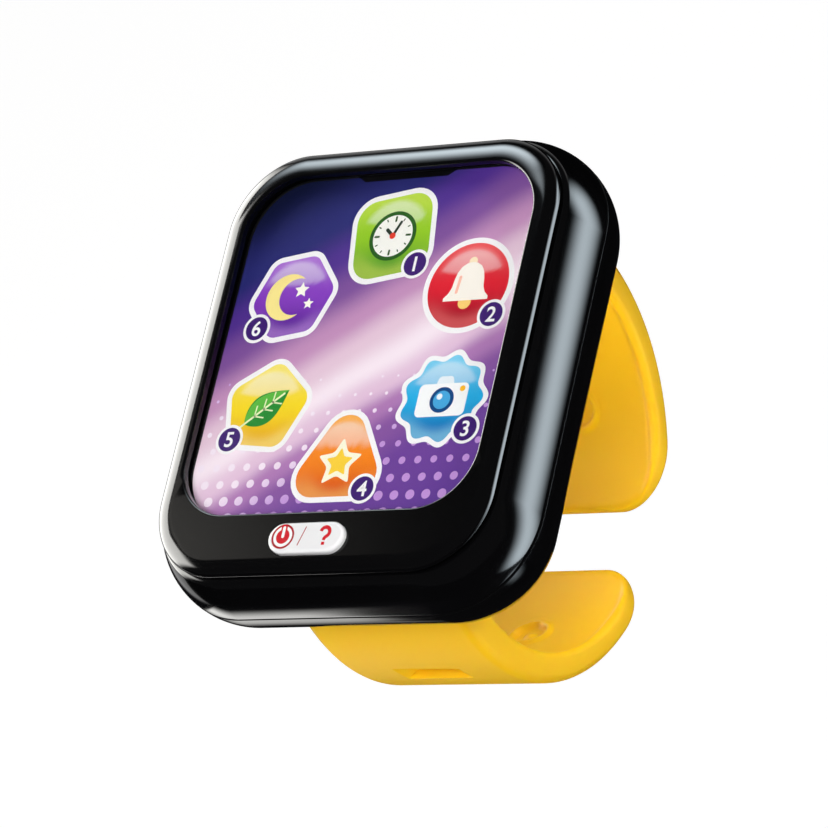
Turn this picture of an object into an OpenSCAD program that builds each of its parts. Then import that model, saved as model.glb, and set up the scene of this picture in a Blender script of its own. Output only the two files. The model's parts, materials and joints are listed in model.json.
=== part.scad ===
// Toy wrist watch: a glossy three-shell case with a printed dial behind a clear lens,
// one pill-shaped push button, and two moulded strap arms that spring open on steel bars.
// Origin: centre of the flat back face. +X right, +Y towards 12 o'clock, +Z out of the dial.

/* [Case] */
// Width of the case at its widest line
case_w = 54.9; // [50:0.1:60]
// Height of the case at its widest line, from 6 to 12 o'clock
case_h = 64.1; // [60:0.1:70]
// Corner radius of the case at its widest line
case_corner_r = 12.9; // [12:0.1:14]
// Height of the parting line between back cover and mid case, the widest line
back_line_z = 7.6; // [7:0.1:8.4]
// How far the back cover draws in from the widest line to the back face
back_inset = 2.7; // [2.4:0.1:3.2]
// How far the mid case draws in from the widest line to the bezel groove
mid_inset = 2.2; // [2:0.1:2.5]
// How far the bezel's edge lies inside the widest line
bezel_inset = 2.45; // [2.3:0.05:2.8]
// Radius of the bezel's rolled edge
bezel_roll_r = 1.45; // [1.2:0.05:1.6]
// Height of the shadow groove between bezel and mid case
groove_h = 0.8; // [0.5:0.1:1]
// Depth of the shadow groove
groove_d = 0.85; // [0.7:0.05:1]

/* [Dial] */
// Bezel margin at each side of the window
bezel_side = 3; // [2.6:0.1:3.6]
// Bezel margin above the window
bezel_top = 3.5; // [3:0.1:4.2]
// Bezel margin below the window, where the button sits
bezel_chin = 8; // [7.6:0.1:9]
// Corner radius of the window
window_r = 8; // [6.5:0.1:9]
// Round-over of the window's edge
window_edge_r = 0.5; // [0.3:0.05:0.7]
// How far the lens lies below the front face
lens_recess = 1; // [0.7:0.1:1.3]
// Thickness of the clear lens
lens_t = 1.4; // [1.2:0.1:1.8]
// How far the lens reaches under the bezel
lens_lap = 0.8; // [0.6:0.05:0.9]
// Thickness of the printed card
card_t = 0.4; // [0.3:0.05:0.6]
// Thickness of the touch film
film_t = 0.25; // [0.2:0.05:0.4]

/* [Button] */
// Length of the button cap
button_w = 11.3; // [10:0.1:13]
// Height of the button cap across its round ends
button_h = 4.5; // [4:0.1:4.8]
// How far the cap stands proud of the front face
button_rise = 0.8; // [0.7:0.05:1.2]
// Round-over of the cap's top edge
button_edge_r = 0.5; // [0.3:0.05:0.7]
// Travel of the button
button_travel = 0.6; // [0.4:0.05:0.7]

/* [Strap] */
// Width of each strap arm
strap_w = 24.4; // [22:0.1:26]
// Depth of the cuff below the back face
cuff_depth = 42; // [40:0.5:46]
// Thickness of the arms at the sides of the wrist
strap_t_side = 4.4; // [4:0.1:5]
// Thickness of the arms at the rear
strap_t_rear = 3.3; // [3:0.1:3.8]
// Gap between the two arm tips
tip_gap = 8.6; // [6:0.1:14]
// Corner radius of an arm tip, seen from the dial
tip_r = 9.5; // [8:0.1:10.5]
// Width of the rim round the inner face
rim_w = 1.7; // [1.4:0.1:2.2]
// Depth of the inner face below its rim
channel_d = 0.8; // [0.5:0.05:1]
// How far each arm opens, in degrees
strap_open = 30; // [20:1:32]

/* [Hinge] */
// Distance of each hinge bar from the case's widest line
pin_inset = 7.05; // [6.8:0.05:7.4]
// Height of each hinge bar above the back face
pin_z = 2.7; // [2.6:0.05:2.9]
// Radius of the arms' hinge knuckles
knuckle_r = 2.4; // [2.2:0.05:2.5]
// Radius of the spring bars
bar_r = 0.9; // [0.8:0.05:1]

/* [Works] */
// Diameter of a button cell
cell_d = 11.6; // [11.4:0.1:11.8]
// Height of a button cell
cell_h = 5.4; // [5.2:0.1:5.6]
// Diameter of the speaker as a share of the case's height
speaker_share = 0.2; // [0.16:0.005:0.205]
// Thickness of the battery door
door_t = 1.4; // [1.2:0.1:1.5]
// Thickness of the back cover's floor
floor_t = 1.6; // [1.5:0.1:1.9]
// Thickness of the circuit board
board_t = 1.2; // [1:0.1:1.6]

/* [Hidden] */
$fn = 64;
// Overrun of every cut past the face it opens
over = 1;
// Fits: shells into each other, glazing, running shafts, loose inner pieces, faces that part
shell_fit = 0.1;
glaze_fit = 0.15;
running_fit = 0.05;
loose_fit = 0.3;
stop_gap = 0.1;

// Stack of layers from the back face up
contact_t = 0.3;
bay_ceiling_t = 0.8;
board_gap = 0.5;
switch_h = 1.4;
switch_gap = 0.3;
deck_t = 0.8;
plateau_h = 1.05;
link_top_z = door_t + contact_t;
cell_top_z = link_top_z + cell_h;
bay_top_z = cell_top_z + contact_t;
ceiling_top_z = bay_top_z + bay_ceiling_t;
board_z = ceiling_top_z + board_gap;
board_top_z = board_z + board_t;
switch_top_z = board_top_z + switch_h;
deck_z = switch_top_z + switch_gap;
deck_top_z = deck_z + deck_t;
plateau_top_z = deck_top_z + plateau_h;
film_top_z = plateau_top_z + film_t;
card_top_z = film_top_z + card_t;
lens_top_z = card_top_z + lens_t;
case_t = lens_top_z + lens_recess;

// Case outlines: every one is an offset of the same core rectangle
core_w = case_w - 2 * case_corner_r;
core_h = case_h - 2 * case_corner_r;
bezel_r = case_corner_r - bezel_inset;
bezel_z = case_t - bezel_roll_r;
mid_top_z = bezel_z - groove_h;
mid_top_r = case_corner_r - mid_inset;
spigot_r = bezel_r - groove_d;
spigot_z = deck_top_z + stop_gap;
rebate_r = spigot_r + shell_fit;
lip_h = 1.6;
lip_t = 1.1;
lip_inset = 2.3;
lip_r = case_corner_r - lip_inset;
lip_z = back_line_z - lip_h;
mid_cavity_r = lip_r - lip_t;
// Sides of the small square that cuts a seam's chamfers, and of the one on the groove's edge
seam_cut = 0.3;
groove_edge_cut = 0.5;

// Window, lens and button places
bezel_half_w = core_w / 2 + bezel_r;
bezel_half_h = core_h / 2 + bezel_r;
window_w = 2 * (bezel_half_w - bezel_side);
window_h = 2 * bezel_half_h - bezel_top - bezel_chin;
window_y = (bezel_chin - bezel_top) / 2;
glaze_w = window_w + 2 * lens_lap;
glaze_h = window_h + 2 * lens_lap;
glaze_r = window_r + lens_lap;
button_y = bezel_chin / 2 - bezel_half_h;
button_gap = 0.22;
ear_reach = 1.5;
ear_t = 1;
ear_top_z = bezel_z - stop_gap;
ear_z = ear_top_z - ear_t;
stem_r = 1.3;
plunger_r = 1;
plunger_rise = 0.9;
plunger_top_z = switch_top_z + plunger_rise;
plunger_foot_z = board_top_z + button_travel + stop_gap;
switch_w = 6;
switch_d = 3;

// Strap arms: one circle through the root and the rear of the cuff, and one inside it
pin_y = case_h / 2 - pin_inset;
root_out = 2.65;
root_y = pin_y + root_out;
root_z = -2;
cuff_r = (root_y * root_y + cuff_depth * cuff_depth) / (2 * cuff_depth);
cuff_z = cuff_r - cuff_depth;
inner_r = cuff_r - strap_t_side;
inner_z = cuff_z - (strap_t_side - strap_t_rear);
floor_r = inner_r + channel_d;
tip_y = tip_gap / 2;
tip_rim = 0.6;
tip_flat = 1;
tip_corner_r = min(tip_r, strap_w / 2 - tip_flat);
// Slant of a tip's end face: its depth of upright lip, and how far it is set back at the outer side
tip_lip = 0.6;
tip_slant = 2;
tip_lip_z = inner_z - sqrt(inner_r * inner_r - tip_y * tip_y) - tip_lip;
channel_top_z = -4;
neck_out_y = sqrt(cuff_r * cuff_r - (root_z - cuff_z) * (root_z - cuff_z));
neck_in_y = sqrt(inner_r * inner_r - (root_z - inner_z) * (root_z - inner_z));
neck_lean = atan((neck_out_y - pin_y - knuckle_r) / (pin_z - root_z));
pocket_gap = 0.35;
pocket_half_w = strap_w / 2 + pocket_gap;
pocket_in_y = pin_y - knuckle_r - pocket_gap;
pocket_wall = 1.5;
bar_tip_r = 0.5;
bar_tip_l = 1.3;
bar_end_gap = 0.1;
bar_half_l = pocket_half_w - bar_end_gap;
// Moulded ring on the inner face, with its dimple and nub, and its angle from the rear
ring_angle = 38;
ring_r = 3.1;
ring_t = 0.8;
ring_rise = 0.45;
dimple_d = 0.5;
nub_r = 0.9;
// Thumb slot in the outer face, with sloped ends
slot_w = 10;
slot_floor_w = 7.4;
slot_h = 4;
slot_d = 1.1;
slot_z = -14.9;
slot_out_y = sqrt(cuff_r * cuff_r - (slot_z - cuff_z) * (slot_z - cuff_z));

// Back cover inside
back_wall = 2;
back_cavity_half_w = case_w / 2 - back_inset - back_wall;
back_cavity_half_h = pocket_in_y - pocket_wall;
back_cavity_r = 3;
post_r = 3;
post_x = back_cavity_half_w - post_r + loose_fit;
post_y = back_cavity_half_h - post_r / 2;
screw_r = 0.95;
screw_hole_r = screw_r + shell_fit;
screw_head_r = 1.9;
screw_head_h = 1.3;
screw_head_fit = 0.25;
screw_seat_z = 4;
screw_bite = 2.6;
screw_end_gap = 0.3;
boss_r = 2.3;
rib_w = 2;

// Battery bay, door and cells
cell_gap = 0.4;
cell_pitch = cell_d + cell_gap;
cell_cap_r = 4.7;
cell_cap_h = 0.4;
bay_w = 3 * cell_d + 2 * cell_gap + 2 * (contact_t + running_fit);
bay_h = cell_d + 2 * loose_fit;
bay_wall = 0.9;
door_boss_r = 2.4;
door_boss_top_z = 6;
door_screw_y = back_cavity_half_h - door_boss_r;
bay_y = door_screw_y - door_boss_r - loose_fit - bay_h / 2;
ledge = 1;
ledge_t = 1;
door_w = bay_w + 2 * ledge;
door_h = bay_h + 2 * ledge;
door_r = 2.5;
door_fit = 0.2;
door_tab_r = 3.2;
door_rib_t = 0.8;
door_rib_h = 0.6;
door_head_seat = 0.9;
door_head_h = 0.7;
door_screw_bite = 3.6;
contact_w = 5;
contact_tab_w = 2;
link_end_share = 0.3;
tab_slot_fit = 0.3;

// Speaker, half way between the battery bay and the end wall
bay_low_y = bay_y - door_h / 2 - bay_wall;
speaker_r = case_h * speaker_share / 2;
speaker_y = (bay_low_y - back_cavity_half_h) / 2;
speaker_ring_t = 0.8;
gasket_t = 0.4;
gasket_w = 1.4;
speaker_z = floor_t + gasket_t;
speaker_rim_h = 1;
speaker_can_share = 0.86;
grille_hole_share = 0.09;
speaker_can_h = 2.2;
speaker_wall = 0.5;
magnet_share = 0.5;
magnet_sink = 0.8;
magnet_rise = 1.2;
cone_t = 0.3;
cone_lip = 0.6;
cone_h = 1.2;
cone_top_share = 0.45;
ring_wall_h = 2.4;
speaker_top_z = speaker_z + speaker_rim_h + speaker_can_h;
speaker_can_r = speaker_r * speaker_can_share;
magnet_r = speaker_r * magnet_share;
grille_hole_r = speaker_r * grille_hole_share;
grille_step_share = 0.3;
grille_rings = 2;
grille_first = 6;
lead_r = 0.4;
lead_x_share = 0.68;

// Board, lamps and chip
board_edge_gap = 1.2;
board_half_w = core_w / 2 + mid_cavity_r - board_edge_gap;
board_low_y = mid_cavity_r - board_edge_gap + core_h / 2;
board_top_y = board_low_y - board_edge_gap;
board_r = mid_cavity_r - board_edge_gap;
blob_r = 4.5;
blob_h = 1.2;
blob_x_share = -0.36;
blob_y_share = 0.3;
lamp_x_share = 0.42;
lamp_w = 2.8;
lamp_base_h = 0.7;
lamp_dome_r = 1.1;
lamp_hole_r = 1.8;
tail_w = 6;
tail_inset = 4;

case_black = "#151517";
strap_yellow = "#e9b32d";
steel = "#b9bcc0";

// Sweeps a profile round a rectangle: the profile's x is the distance out of it, its y the height
module swept_ring(across, along) {
  for (turn = [0, 180]) {
    rotate(turn) translate([across / 2, along / 2, 0]) rotate([90, 0, 0])
      linear_extrude(along) children();
    rotate(turn + 90) translate([along / 2, across / 2, 0]) rotate([90, 0, 0])
      linear_extrude(across) children();
  }
  for (turn = [0, 90, 180, 270]) {
    x_side = (turn == 0 || turn == 270) ? 1 : -1;
    y_side = turn < 180 ? 1 : -1;
    translate([x_side * across / 2, y_side * along / 2, 0]) rotate(turn)
      rotate_extrude(angle = 90) children();
  }
}

// A swept case shell with its core filled between two heights
module swept_shell(low, high) {
  swept_ring(core_w, core_h) children();
  translate([-core_w / 2, -core_h / 2, low]) cube([core_w, core_h, high - low]);
}

// Plan outline with round corners, centred
module round_rect(w, h, r) {
  square([w - 2 * r, h], center = true);
  square([w, h - 2 * r], center = true);
  for (x = [-1, 1], y = [-1, 1]) {
    translate([x * (w / 2 - r), y * (h / 2 - r)]) circle(r = r);
  }
}

// Block with that outline between two heights
module round_block(w, h, r, low, high) {
  translate([0, 0, low]) linear_extrude(high - low) round_rect(w, h, r);
}

// Block whose outline is the core rectangle grown by r
module core_block(r, low, high) {
  round_block(core_w + 2 * r, core_h + 2 * r, r, low, high);
}

module rod(r, low, high) {
  translate([0, 0, low]) cylinder(r = r, h = high - low);
}

module slab(w, d, low, high) {
  translate([-w / 2, -d / 2, low]) cube([w, d, high - low]);
}

// Profile of a shell side that bulges on one arc, widest at the parting line
module bulged_side(inset, low, high) {
  rise = high - low;
  arc_r = (rise * rise + inset * inset) / (2 * inset);
  translate([0, low]) square([case_corner_r - inset, rise]);
  intersection() {
    translate([0, low]) square([case_corner_r, rise]);
    translate([case_corner_r - arc_r, back_line_z]) circle(r = arc_r, $fn = 180);
  }
}

// Small square set on its corner, for chamfers along a profile's edges
module edge_cut(side) {
  rotate(45) square(side, center = true);
}

module at_posts() {
  for (x = [-1, 1], y = [-1, 1]) {
    translate([x * post_x, y * post_y, 0]) children();
  }
}

module bezel_profile() {
  translate([0, bezel_z]) square([bezel_r - bezel_roll_r, bezel_roll_r]);
  intersection() {
    translate([bezel_r - bezel_roll_r, bezel_z]) circle(r = bezel_roll_r);
    translate([0, bezel_z]) square([bezel_r, bezel_roll_r]);
  }
}

module window_round_over() {
  difference() {
    translate([window_r, case_t - window_edge_r]) square([window_edge_r, window_edge_r + over]);
    translate([window_r + window_edge_r, case_t - window_edge_r]) circle(r = window_edge_r);
  }
}

module pill_plan(w, h) {
  square([w - h, h], center = true);
  for (x = [-1, 1]) {
    translate([x * (w - h) / 2, 0]) circle(d = h);
  }
}

module front_bezel() {
  pocket_grow = 2 * glaze_fit;
  color(case_black)
  difference() {
    union() {
      swept_shell(bezel_z, case_t) bezel_profile();
      core_block(spigot_r, spigot_z, bezel_z);
    }
    translate([0, window_y, 0]) {
      round_block(window_w, window_h, window_r, spigot_z - over, case_t + over);
      swept_ring(window_w - 2 * window_r, window_h - 2 * window_r) window_round_over();
      round_block(
        glaze_w + pocket_grow, glaze_h + pocket_grow, glaze_r + glaze_fit,
        spigot_z - over, lens_top_z
      );
    }
    translate([0, button_y, 0]) {
      translate([0, 0, spigot_z - over]) linear_extrude(case_t - spigot_z + 2 * over)
        pill_plan(button_w + 2 * button_gap, button_h + 2 * button_gap);
      slab(button_w + 2 * (ear_reach + button_gap), button_h + 2 * button_gap, spigot_z - over, bezel_z);
    }
  }
}

module mid_profile() {
  difference() {
    bulged_side(mid_inset, back_line_z, mid_top_z);
    translate([case_corner_r, back_line_z]) edge_cut(seam_cut);
    translate([mid_top_r, mid_top_z]) edge_cut(groove_edge_cut);
  }
}

// Raised deck that carries film, card and lens
module plateau() {
  shrink = 2 * (loose_fit - glaze_fit);
  translate([0, window_y, 0])
    round_block(glaze_w - shrink, glaze_h - shrink, glaze_r - loose_fit, deck_z, plateau_top_z);
}

// Screw bosses under the deck, each tied to the side wall by a rib
module bosses() {
  rib_l = core_w / 2 + mid_cavity_r - post_x + loose_fit;
  at_posts() rod(boss_r, board_top_z, deck_top_z);
  for (x = [-1, 1], y = [-1, 1]) {
    translate([x * (post_x + rib_l / 2), y * post_y, 0])
      slab(rib_l, rib_w, board_top_z, deck_top_z);
  }
}

module mid_case() {
  color(case_black)
  difference() {
    union() {
      difference() {
        union() {
          swept_shell(back_line_z, mid_top_z) mid_profile();
          core_block(lip_r, lip_z, back_line_z);
        }
        core_block(mid_cavity_r, lip_z - over, deck_z);
        core_block(rebate_r, deck_top_z, mid_top_z + over);
      }
      plateau();
      bosses();
    }
    at_posts() rod(screw_hole_r, board_top_z - over, board_top_z + screw_bite + screw_end_gap);
    translate([0, button_y, 0]) rod(stem_r + loose_fit, deck_z - over, deck_top_z + over);
    for (x = [-1, 1]) {
      translate([x * board_half_w * lamp_x_share, 0, 0])
        rod(lamp_hole_r, deck_z - over, plateau_top_z + over);
    }
    translate([0, film_tail_y(), 0])
      slab(tail_w + 2 * loose_fit, film_t + 2 * loose_fit, deck_z - over, plateau_top_z + over);
  }
}

function film_tail_y() = window_y + glaze_h / 2 - tail_inset;

module back_profile() {
  difference() {
    bulged_side(back_inset, 0, back_line_z);
    translate([case_corner_r, back_line_z]) edge_cut(seam_cut);
  }
}

// Pocket for one arm's knuckle, open to the back and, as far as the arm swings, to the edge
module arm_pocket() {
  reach = case_h;
  swing = strap_open + neck_lean;
  turn_r = knuckle_r + pocket_gap;
  lip = [pin_y + turn_r * cos(swing), pin_z + turn_r * sin(swing)];
  translate([-pocket_half_w, 0, 0]) rotate([90, 0, 90]) linear_extrude(2 * pocket_half_w) {
    translate([pin_y, pin_z]) circle(r = turn_r);
    polygon([
      [pin_y, pin_z],
      lip,
      lip + reach * [sin(swing), -cos(swing)],
      [pocket_in_y, -reach],
      [pocket_in_y, pin_z]
    ]);
  }
  bore_half_l = bar_half_l + bar_tip_l + stop_gap;
  translate([-bore_half_l, pin_y, pin_z]) rotate([0, 90, 0])
    cylinder(r = bar_tip_r + running_fit, h = 2 * bore_half_l);
}

module door_plan(grow) {
  translate([0, bay_y]) round_rect(door_w + 2 * grow, door_h + 2 * grow, door_r + grow);
  translate([0, door_screw_y]) circle(r = door_tab_r + grow);
}

module grille_holes() {
  rod(grille_hole_r, -over, floor_t + over);
  for (ring = [1 : grille_rings], n = [0 : ring * grille_first - 1]) {
    rotate(n * 360 / (ring * grille_first)) translate([ring * speaker_r * grille_step_share, 0, 0])
      rod(grille_hole_r, -over, floor_t + over);
  }
}

// Slots through the bay's ceiling for the contacts' solder tabs
module tab_slots() {
  slot_l = contact_tab_w + 2 * tab_slot_fit;
  slot_t = contact_t + 2 * tab_slot_fit;
  translate([-cell_pitch, bay_y, 0]) slab(slot_l, slot_t, bay_top_z - over, ceiling_top_z + over);
  translate([bay_w / 2 - contact_t / 2, bay_y, 0])
    slab(slot_t, slot_l, bay_top_z - over, ceiling_top_z + over);
}

module back_cover() {
  color(case_black)
  difference() {
    union() {
      difference() {
        swept_shell(0, back_line_z) back_profile();
        core_block(lip_r + shell_fit, lip_z - stop_gap, back_line_z + over);
        round_block(
          2 * back_cavity_half_w, 2 * back_cavity_half_h, back_cavity_r,
          floor_t, back_line_z + over
        );
      }
      at_posts() rod(post_r, 0, board_z);
      translate([0, door_screw_y, 0]) rod(door_boss_r, floor_t, door_boss_top_z);
      translate([0, bay_y, 0]) {
        round_block(door_w + 2 * bay_wall, door_h + 2 * bay_wall, door_r, 0, floor_t + ledge_t);
        slab(bay_w + 2 * bay_wall, bay_h + 2 * bay_wall, 0, ceiling_top_z);
      }
      translate([0, speaker_y, 0]) difference() {
        rod(speaker_r + loose_fit + speaker_ring_t, 0, floor_t + ring_wall_h);
        rod(speaker_r + glaze_fit, floor_t, floor_t + ring_wall_h + over);
      }
    }
    translate([0, bay_y, 0]) slab(bay_w, bay_h, -over, bay_top_z);
    translate([0, 0, -over]) linear_extrude(door_t + over) door_plan(door_fit);
    translate([0, door_screw_y, 0]) rod(screw_hole_r, 0, door_boss_top_z + over);
    tab_slots();
    at_posts() {
      rod(screw_head_r + screw_head_fit, -over, screw_seat_z);
      rod(screw_hole_r, 0, board_z + over);
    }
    translate([0, speaker_y, 0]) grille_holes();
    arm_pocket();
    mirror([0, 1, 0]) arm_pocket();
  }
}

module screen_lens() {
  color("#dfe6ee", 0.3)
  translate([0, window_y, 0]) round_block(glaze_w, glaze_h, glaze_r, card_top_z, lens_top_z);
}

module dial_card() {
  color("#6b4fb3")
  translate([0, window_y, 0]) round_block(glaze_w, glaze_h, glaze_r, film_top_z, card_top_z);
}

module touch_film() {
  color("#c9b27a") {
    translate([0, window_y, 0]) round_block(glaze_w, glaze_h, glaze_r, plateau_top_z, film_top_z);
    translate([0, film_tail_y(), 0]) slab(tail_w, film_t, board_top_z, plateau_top_z);
  }
}

// Half profile of the button cap from its axis, with the rounded top edge
module cap_profile() {
  top = case_t + button_rise;
  translate([0, ear_top_z]) square([button_h / 2, top - button_edge_r - ear_top_z]);
  translate([0, ear_top_z]) square([button_h / 2 - button_edge_r, top - ear_top_z]);
  intersection() {
    translate([0, ear_top_z]) square([button_h / 2, top - ear_top_z]);
    translate([button_h / 2 - button_edge_r, top - button_edge_r]) circle(r = button_edge_r);
  }
}

module button_cap() {
  straight = button_w - button_h;
  color("#f2f2f2")
  translate([0, button_y, 0]) {
    for (side = [0, 180]) {
      rotate(side) translate([straight / 2, 0, 0]) rotate(-90)
        rotate_extrude(angle = 180) cap_profile();
      rotate(side) translate([-straight / 2, 0, 0]) rotate([90, 0, 90])
        linear_extrude(straight) cap_profile();
    }
    slab(button_w + 2 * ear_reach, button_h, ear_z, ear_top_z);
    rod(stem_r, plunger_top_z, ear_z);
  }
}

module switch_plunger() {
  color("#d8d8d4")
  translate([0, button_y, 0]) rod(plunger_r, plunger_foot_z, plunger_top_z);
}

module tact_switch() {
  color("#2b2b2e")
  translate([0, button_y, 0]) difference() {
    slab(switch_w, switch_d, board_top_z, switch_top_z);
    rod(plunger_r + running_fit, board_top_z - over, switch_top_z + over);
  }
}

module circuit_board() {
  color("#2f6b3a")
  difference() {
    translate([0, (board_top_y - board_low_y) / 2, 0])
      round_block(2 * board_half_w, board_top_y + board_low_y, board_r, board_z, board_top_z);
    at_posts() rod(screw_hole_r + shell_fit, board_z - over, board_top_z + over);
  }
}

module chip_blob() {
  dome_r = (blob_r * blob_r + blob_h * blob_h) / (2 * blob_h);
  color("#101010")
  translate([board_half_w * blob_x_share, board_low_y * blob_y_share, board_top_z]) rotate_extrude()
    intersection() {
      square([blob_r, blob_h]);
      translate([0, blob_h - dome_r]) circle(r = dome_r, $fn = 180);
    }
}

module lamps() {
  color("#f4f0dc")
  for (x = [-1, 1]) {
    translate([x * board_half_w * lamp_x_share, 0, board_top_z]) {
      slab(lamp_w, lamp_w, 0, lamp_base_h);
      translate([0, 0, lamp_base_h]) rotate_extrude() intersection() {
        square(lamp_dome_r);
        circle(r = lamp_dome_r);
      }
    }
  }
}

module speaker_frame() {
  color(steel)
  translate([0, speaker_y, speaker_z]) difference() {
    union() {
      rod(speaker_r, 0, speaker_rim_h);
      rod(speaker_can_r, 0, speaker_rim_h + speaker_can_h);
    }
    rod(speaker_can_r - speaker_wall, -over, speaker_rim_h + speaker_can_h - speaker_wall);
    rod(speaker_can_r - speaker_wall + cone_lip, -over, cone_t);
    rod(magnet_r + running_fit, -over, speaker_rim_h + speaker_can_h + over);
  }
}

module speaker_magnet() {
  color("#8b8d92")
  translate([0, speaker_y, speaker_top_z]) rod(magnet_r, -magnet_sink, magnet_rise);
}

module speaker_cone() {
  lip_out = speaker_can_r - speaker_wall + cone_lip - running_fit;
  foot = speaker_can_r - speaker_wall - loose_fit;
  color("#e8e4d8")
  translate([0, speaker_y, speaker_z]) rotate_extrude() polygon([
    [0, cone_h],
    [foot * cone_top_share, cone_h],
    [foot, 0],
    [lip_out, 0],
    [lip_out, cone_t],
    [foot, cone_t],
    [foot * cone_top_share, cone_h + cone_t],
    [0, cone_h + cone_t]
  ]);
}

module speaker_gasket() {
  color("#3a3a3d")
  translate([0, speaker_y, 0]) difference() {
    rod(speaker_r, floor_t, speaker_z);
    rod(speaker_r - gasket_w, floor_t - over, speaker_z + over);
  }
}

module speaker_leads() {
  color("#b03a2e")
  for (x = [-1, 1]) {
    translate([x * speaker_r * lead_x_share, speaker_y, 0]) rod(lead_r, speaker_top_z, board_z);
  }
}

// Button cell: the can, and the small cap that is its other pole
module cell(x, cap_up) {
  can_low = cap_up ? link_top_z : link_top_z + cell_cap_h;
  color(steel)
  translate([x, bay_y, 0]) {
    rod(cell_d / 2, can_low, can_low + cell_h - cell_cap_h);
    rod(cell_cap_r, link_top_z, cell_top_z);
  }
}

module cell_left() {
  cell(-cell_pitch, true);
}

module cell_middle() {
  cell(0, false);
}

module cell_right() {
  cell(cell_pitch, true);
}

module contact_minus() {
  color("#c8b070")
  translate([-cell_pitch, bay_y, 0]) {
    slab(contact_w, contact_w, cell_top_z, bay_top_z);
    slab(contact_tab_w, contact_t, cell_top_z, board_z);
  }
}

// Leaf between the bay's end wall and the side of the last cell's can
module contact_plus() {
  color("#c8b070")
  translate([bay_w / 2 - contact_t / 2, bay_y, 0]) {
    slab(contact_t, contact_w, link_top_z, cell_top_z);
    slab(contact_t, contact_tab_w, cell_top_z, board_z);
  }
}

// Strap from the middle of one cell to the middle of the next, a little past both
module link_plate(x, low) {
  reach = cell_pitch + cell_d * link_end_share;
  color("#c8b070")
  translate([x, bay_y, 0]) slab(reach, contact_w, low, low + contact_t);
}

module contact_link() {
  link_plate(cell_pitch / 2, cell_top_z);
}

module door_link() {
  link_plate(-cell_pitch / 2, door_t);
}

module battery_door() {
  rib_w_out = bay_w - 2 * loose_fit;
  rib_h_out = bay_h - 2 * loose_fit;
  color(case_black)
  difference() {
    union() {
      linear_extrude(door_t) door_plan(0);
      translate([0, bay_y, 0]) difference() {
        slab(rib_w_out, rib_h_out, 0, door_t + door_rib_h);
        slab(rib_w_out - 2 * door_rib_t, rib_h_out - 2 * door_rib_t, door_t, door_t + door_rib_h + over);
        slab(rib_w_out + over, rib_h_out / 2, door_t, door_t + door_rib_h + over);
        for (x = [-1, 0, 1]) {
          translate([x * cell_pitch, 0, 0])
            rod(cell_d / 2 + loose_fit, door_t, door_t + door_rib_h + over);
        }
      }
    }
    translate([0, door_screw_y, 0]) {
      rod(screw_head_r + shell_fit, -over, door_head_seat);
      rod(screw_hole_r, 0, door_t + over);
    }
  }
}

module door_screw() {
  color(steel)
  translate([0, door_screw_y, 0]) {
    rod(screw_head_r, door_head_seat - door_head_h, door_head_seat);
    rod(screw_r, door_head_seat, door_head_seat + door_screw_bite);
  }
}

module case_screws() {
  color(steel)
  at_posts() {
    rod(screw_head_r, screw_seat_z - screw_head_h, screw_seat_z);
    rod(screw_r, screw_seat_z, board_top_z + screw_bite);
  }
}

// Spring bar: a plain barrel with a thin tip at each end
module spring_bar() {
  color(steel)
  translate([0, pin_y, pin_z]) rotate([0, 90, 0]) {
    cylinder(r = bar_r, h = 2 * bar_half_l, center = true);
    cylinder(r = bar_tip_r, h = 2 * (bar_half_l + bar_tip_l), center = true);
  }
}

module upper_bar() {
  spring_bar();
}

module lower_bar() {
  mirror([0, 1, 0]) spring_bar();
}

// Side view of one arm: the crescent, the neck that leaves it and the knuckle round the bar
module arm_side() {
  difference() {
    intersection() {
      translate([0, cuff_z]) circle(r = cuff_r, $fn = 180);
      translate([0, -cuff_depth]) square([cuff_r, cuff_depth + root_z]);
    }
    translate([0, inner_z]) circle(r = inner_r, $fn = 180);
  }
  polygon([
    [pin_y - knuckle_r, pin_z],
    [neck_in_y, root_z],
    [neck_out_y, root_z],
    [pin_y + knuckle_r, pin_z]
  ]);
  translate([pin_y, pin_z]) circle(r = knuckle_r);
}

// Plan of an arm, drawn in from its edge, with round tip corners
module arm_plan(draw_in, tip_in) {
  half_w = strap_w / 2 - draw_in;
  corner = tip_corner_r - draw_in;
  tip = tip_y + tip_in;
  translate([-half_w, tip + corner]) square([2 * half_w, cuff_r]);
  translate([corner - half_w, tip]) square([2 * (half_w - corner), corner]);
  for (x = [-1, 1]) {
    translate([x * (half_w - corner), tip + corner]) circle(r = corner);
  }
}

// Turns +Z onto the line from the inner circle's centre to the moulded ring
module at_ring() {
  translate([0, 0, inner_z]) rotate([180 + ring_angle, 0, 0]) children();
}

// Shallow channel between the rims of the wrist side
module arm_channel() {
  intersection() {
    rotate([90, 0, 90]) linear_extrude(strap_w, center = true) difference() {
      translate([0, inner_z]) circle(r = floor_r, $fn = 180);
      translate([0, inner_z]) circle(r = inner_r - over, $fn = 180);
    }
    translate([0, 0, -cuff_depth]) linear_extrude(cuff_depth + channel_top_z) arm_plan(rim_w, tip_rim);
  }
}

// Set-back of a tip's end face towards the outer side
module tip_cut() {
  rotate([90, 0, 90]) linear_extrude(strap_w, center = true) polygon([
    [tip_y - over, tip_lip_z],
    [tip_y, tip_lip_z],
    [tip_y + tip_slant, -cuff_depth - over],
    [tip_y - over, -cuff_depth - over]
  ]);
}

module thumb_slot() {
  translate([0, 0, slot_z - slot_h / 2]) linear_extrude(slot_h) polygon([
    [-slot_w / 2, slot_out_y + over],
    [-slot_w / 2, slot_out_y],
    [-slot_floor_w / 2, slot_out_y - slot_d],
    [slot_floor_w / 2, slot_out_y - slot_d],
    [slot_w / 2, slot_out_y],
    [slot_w / 2, slot_out_y + over]
  ]);
}

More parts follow.
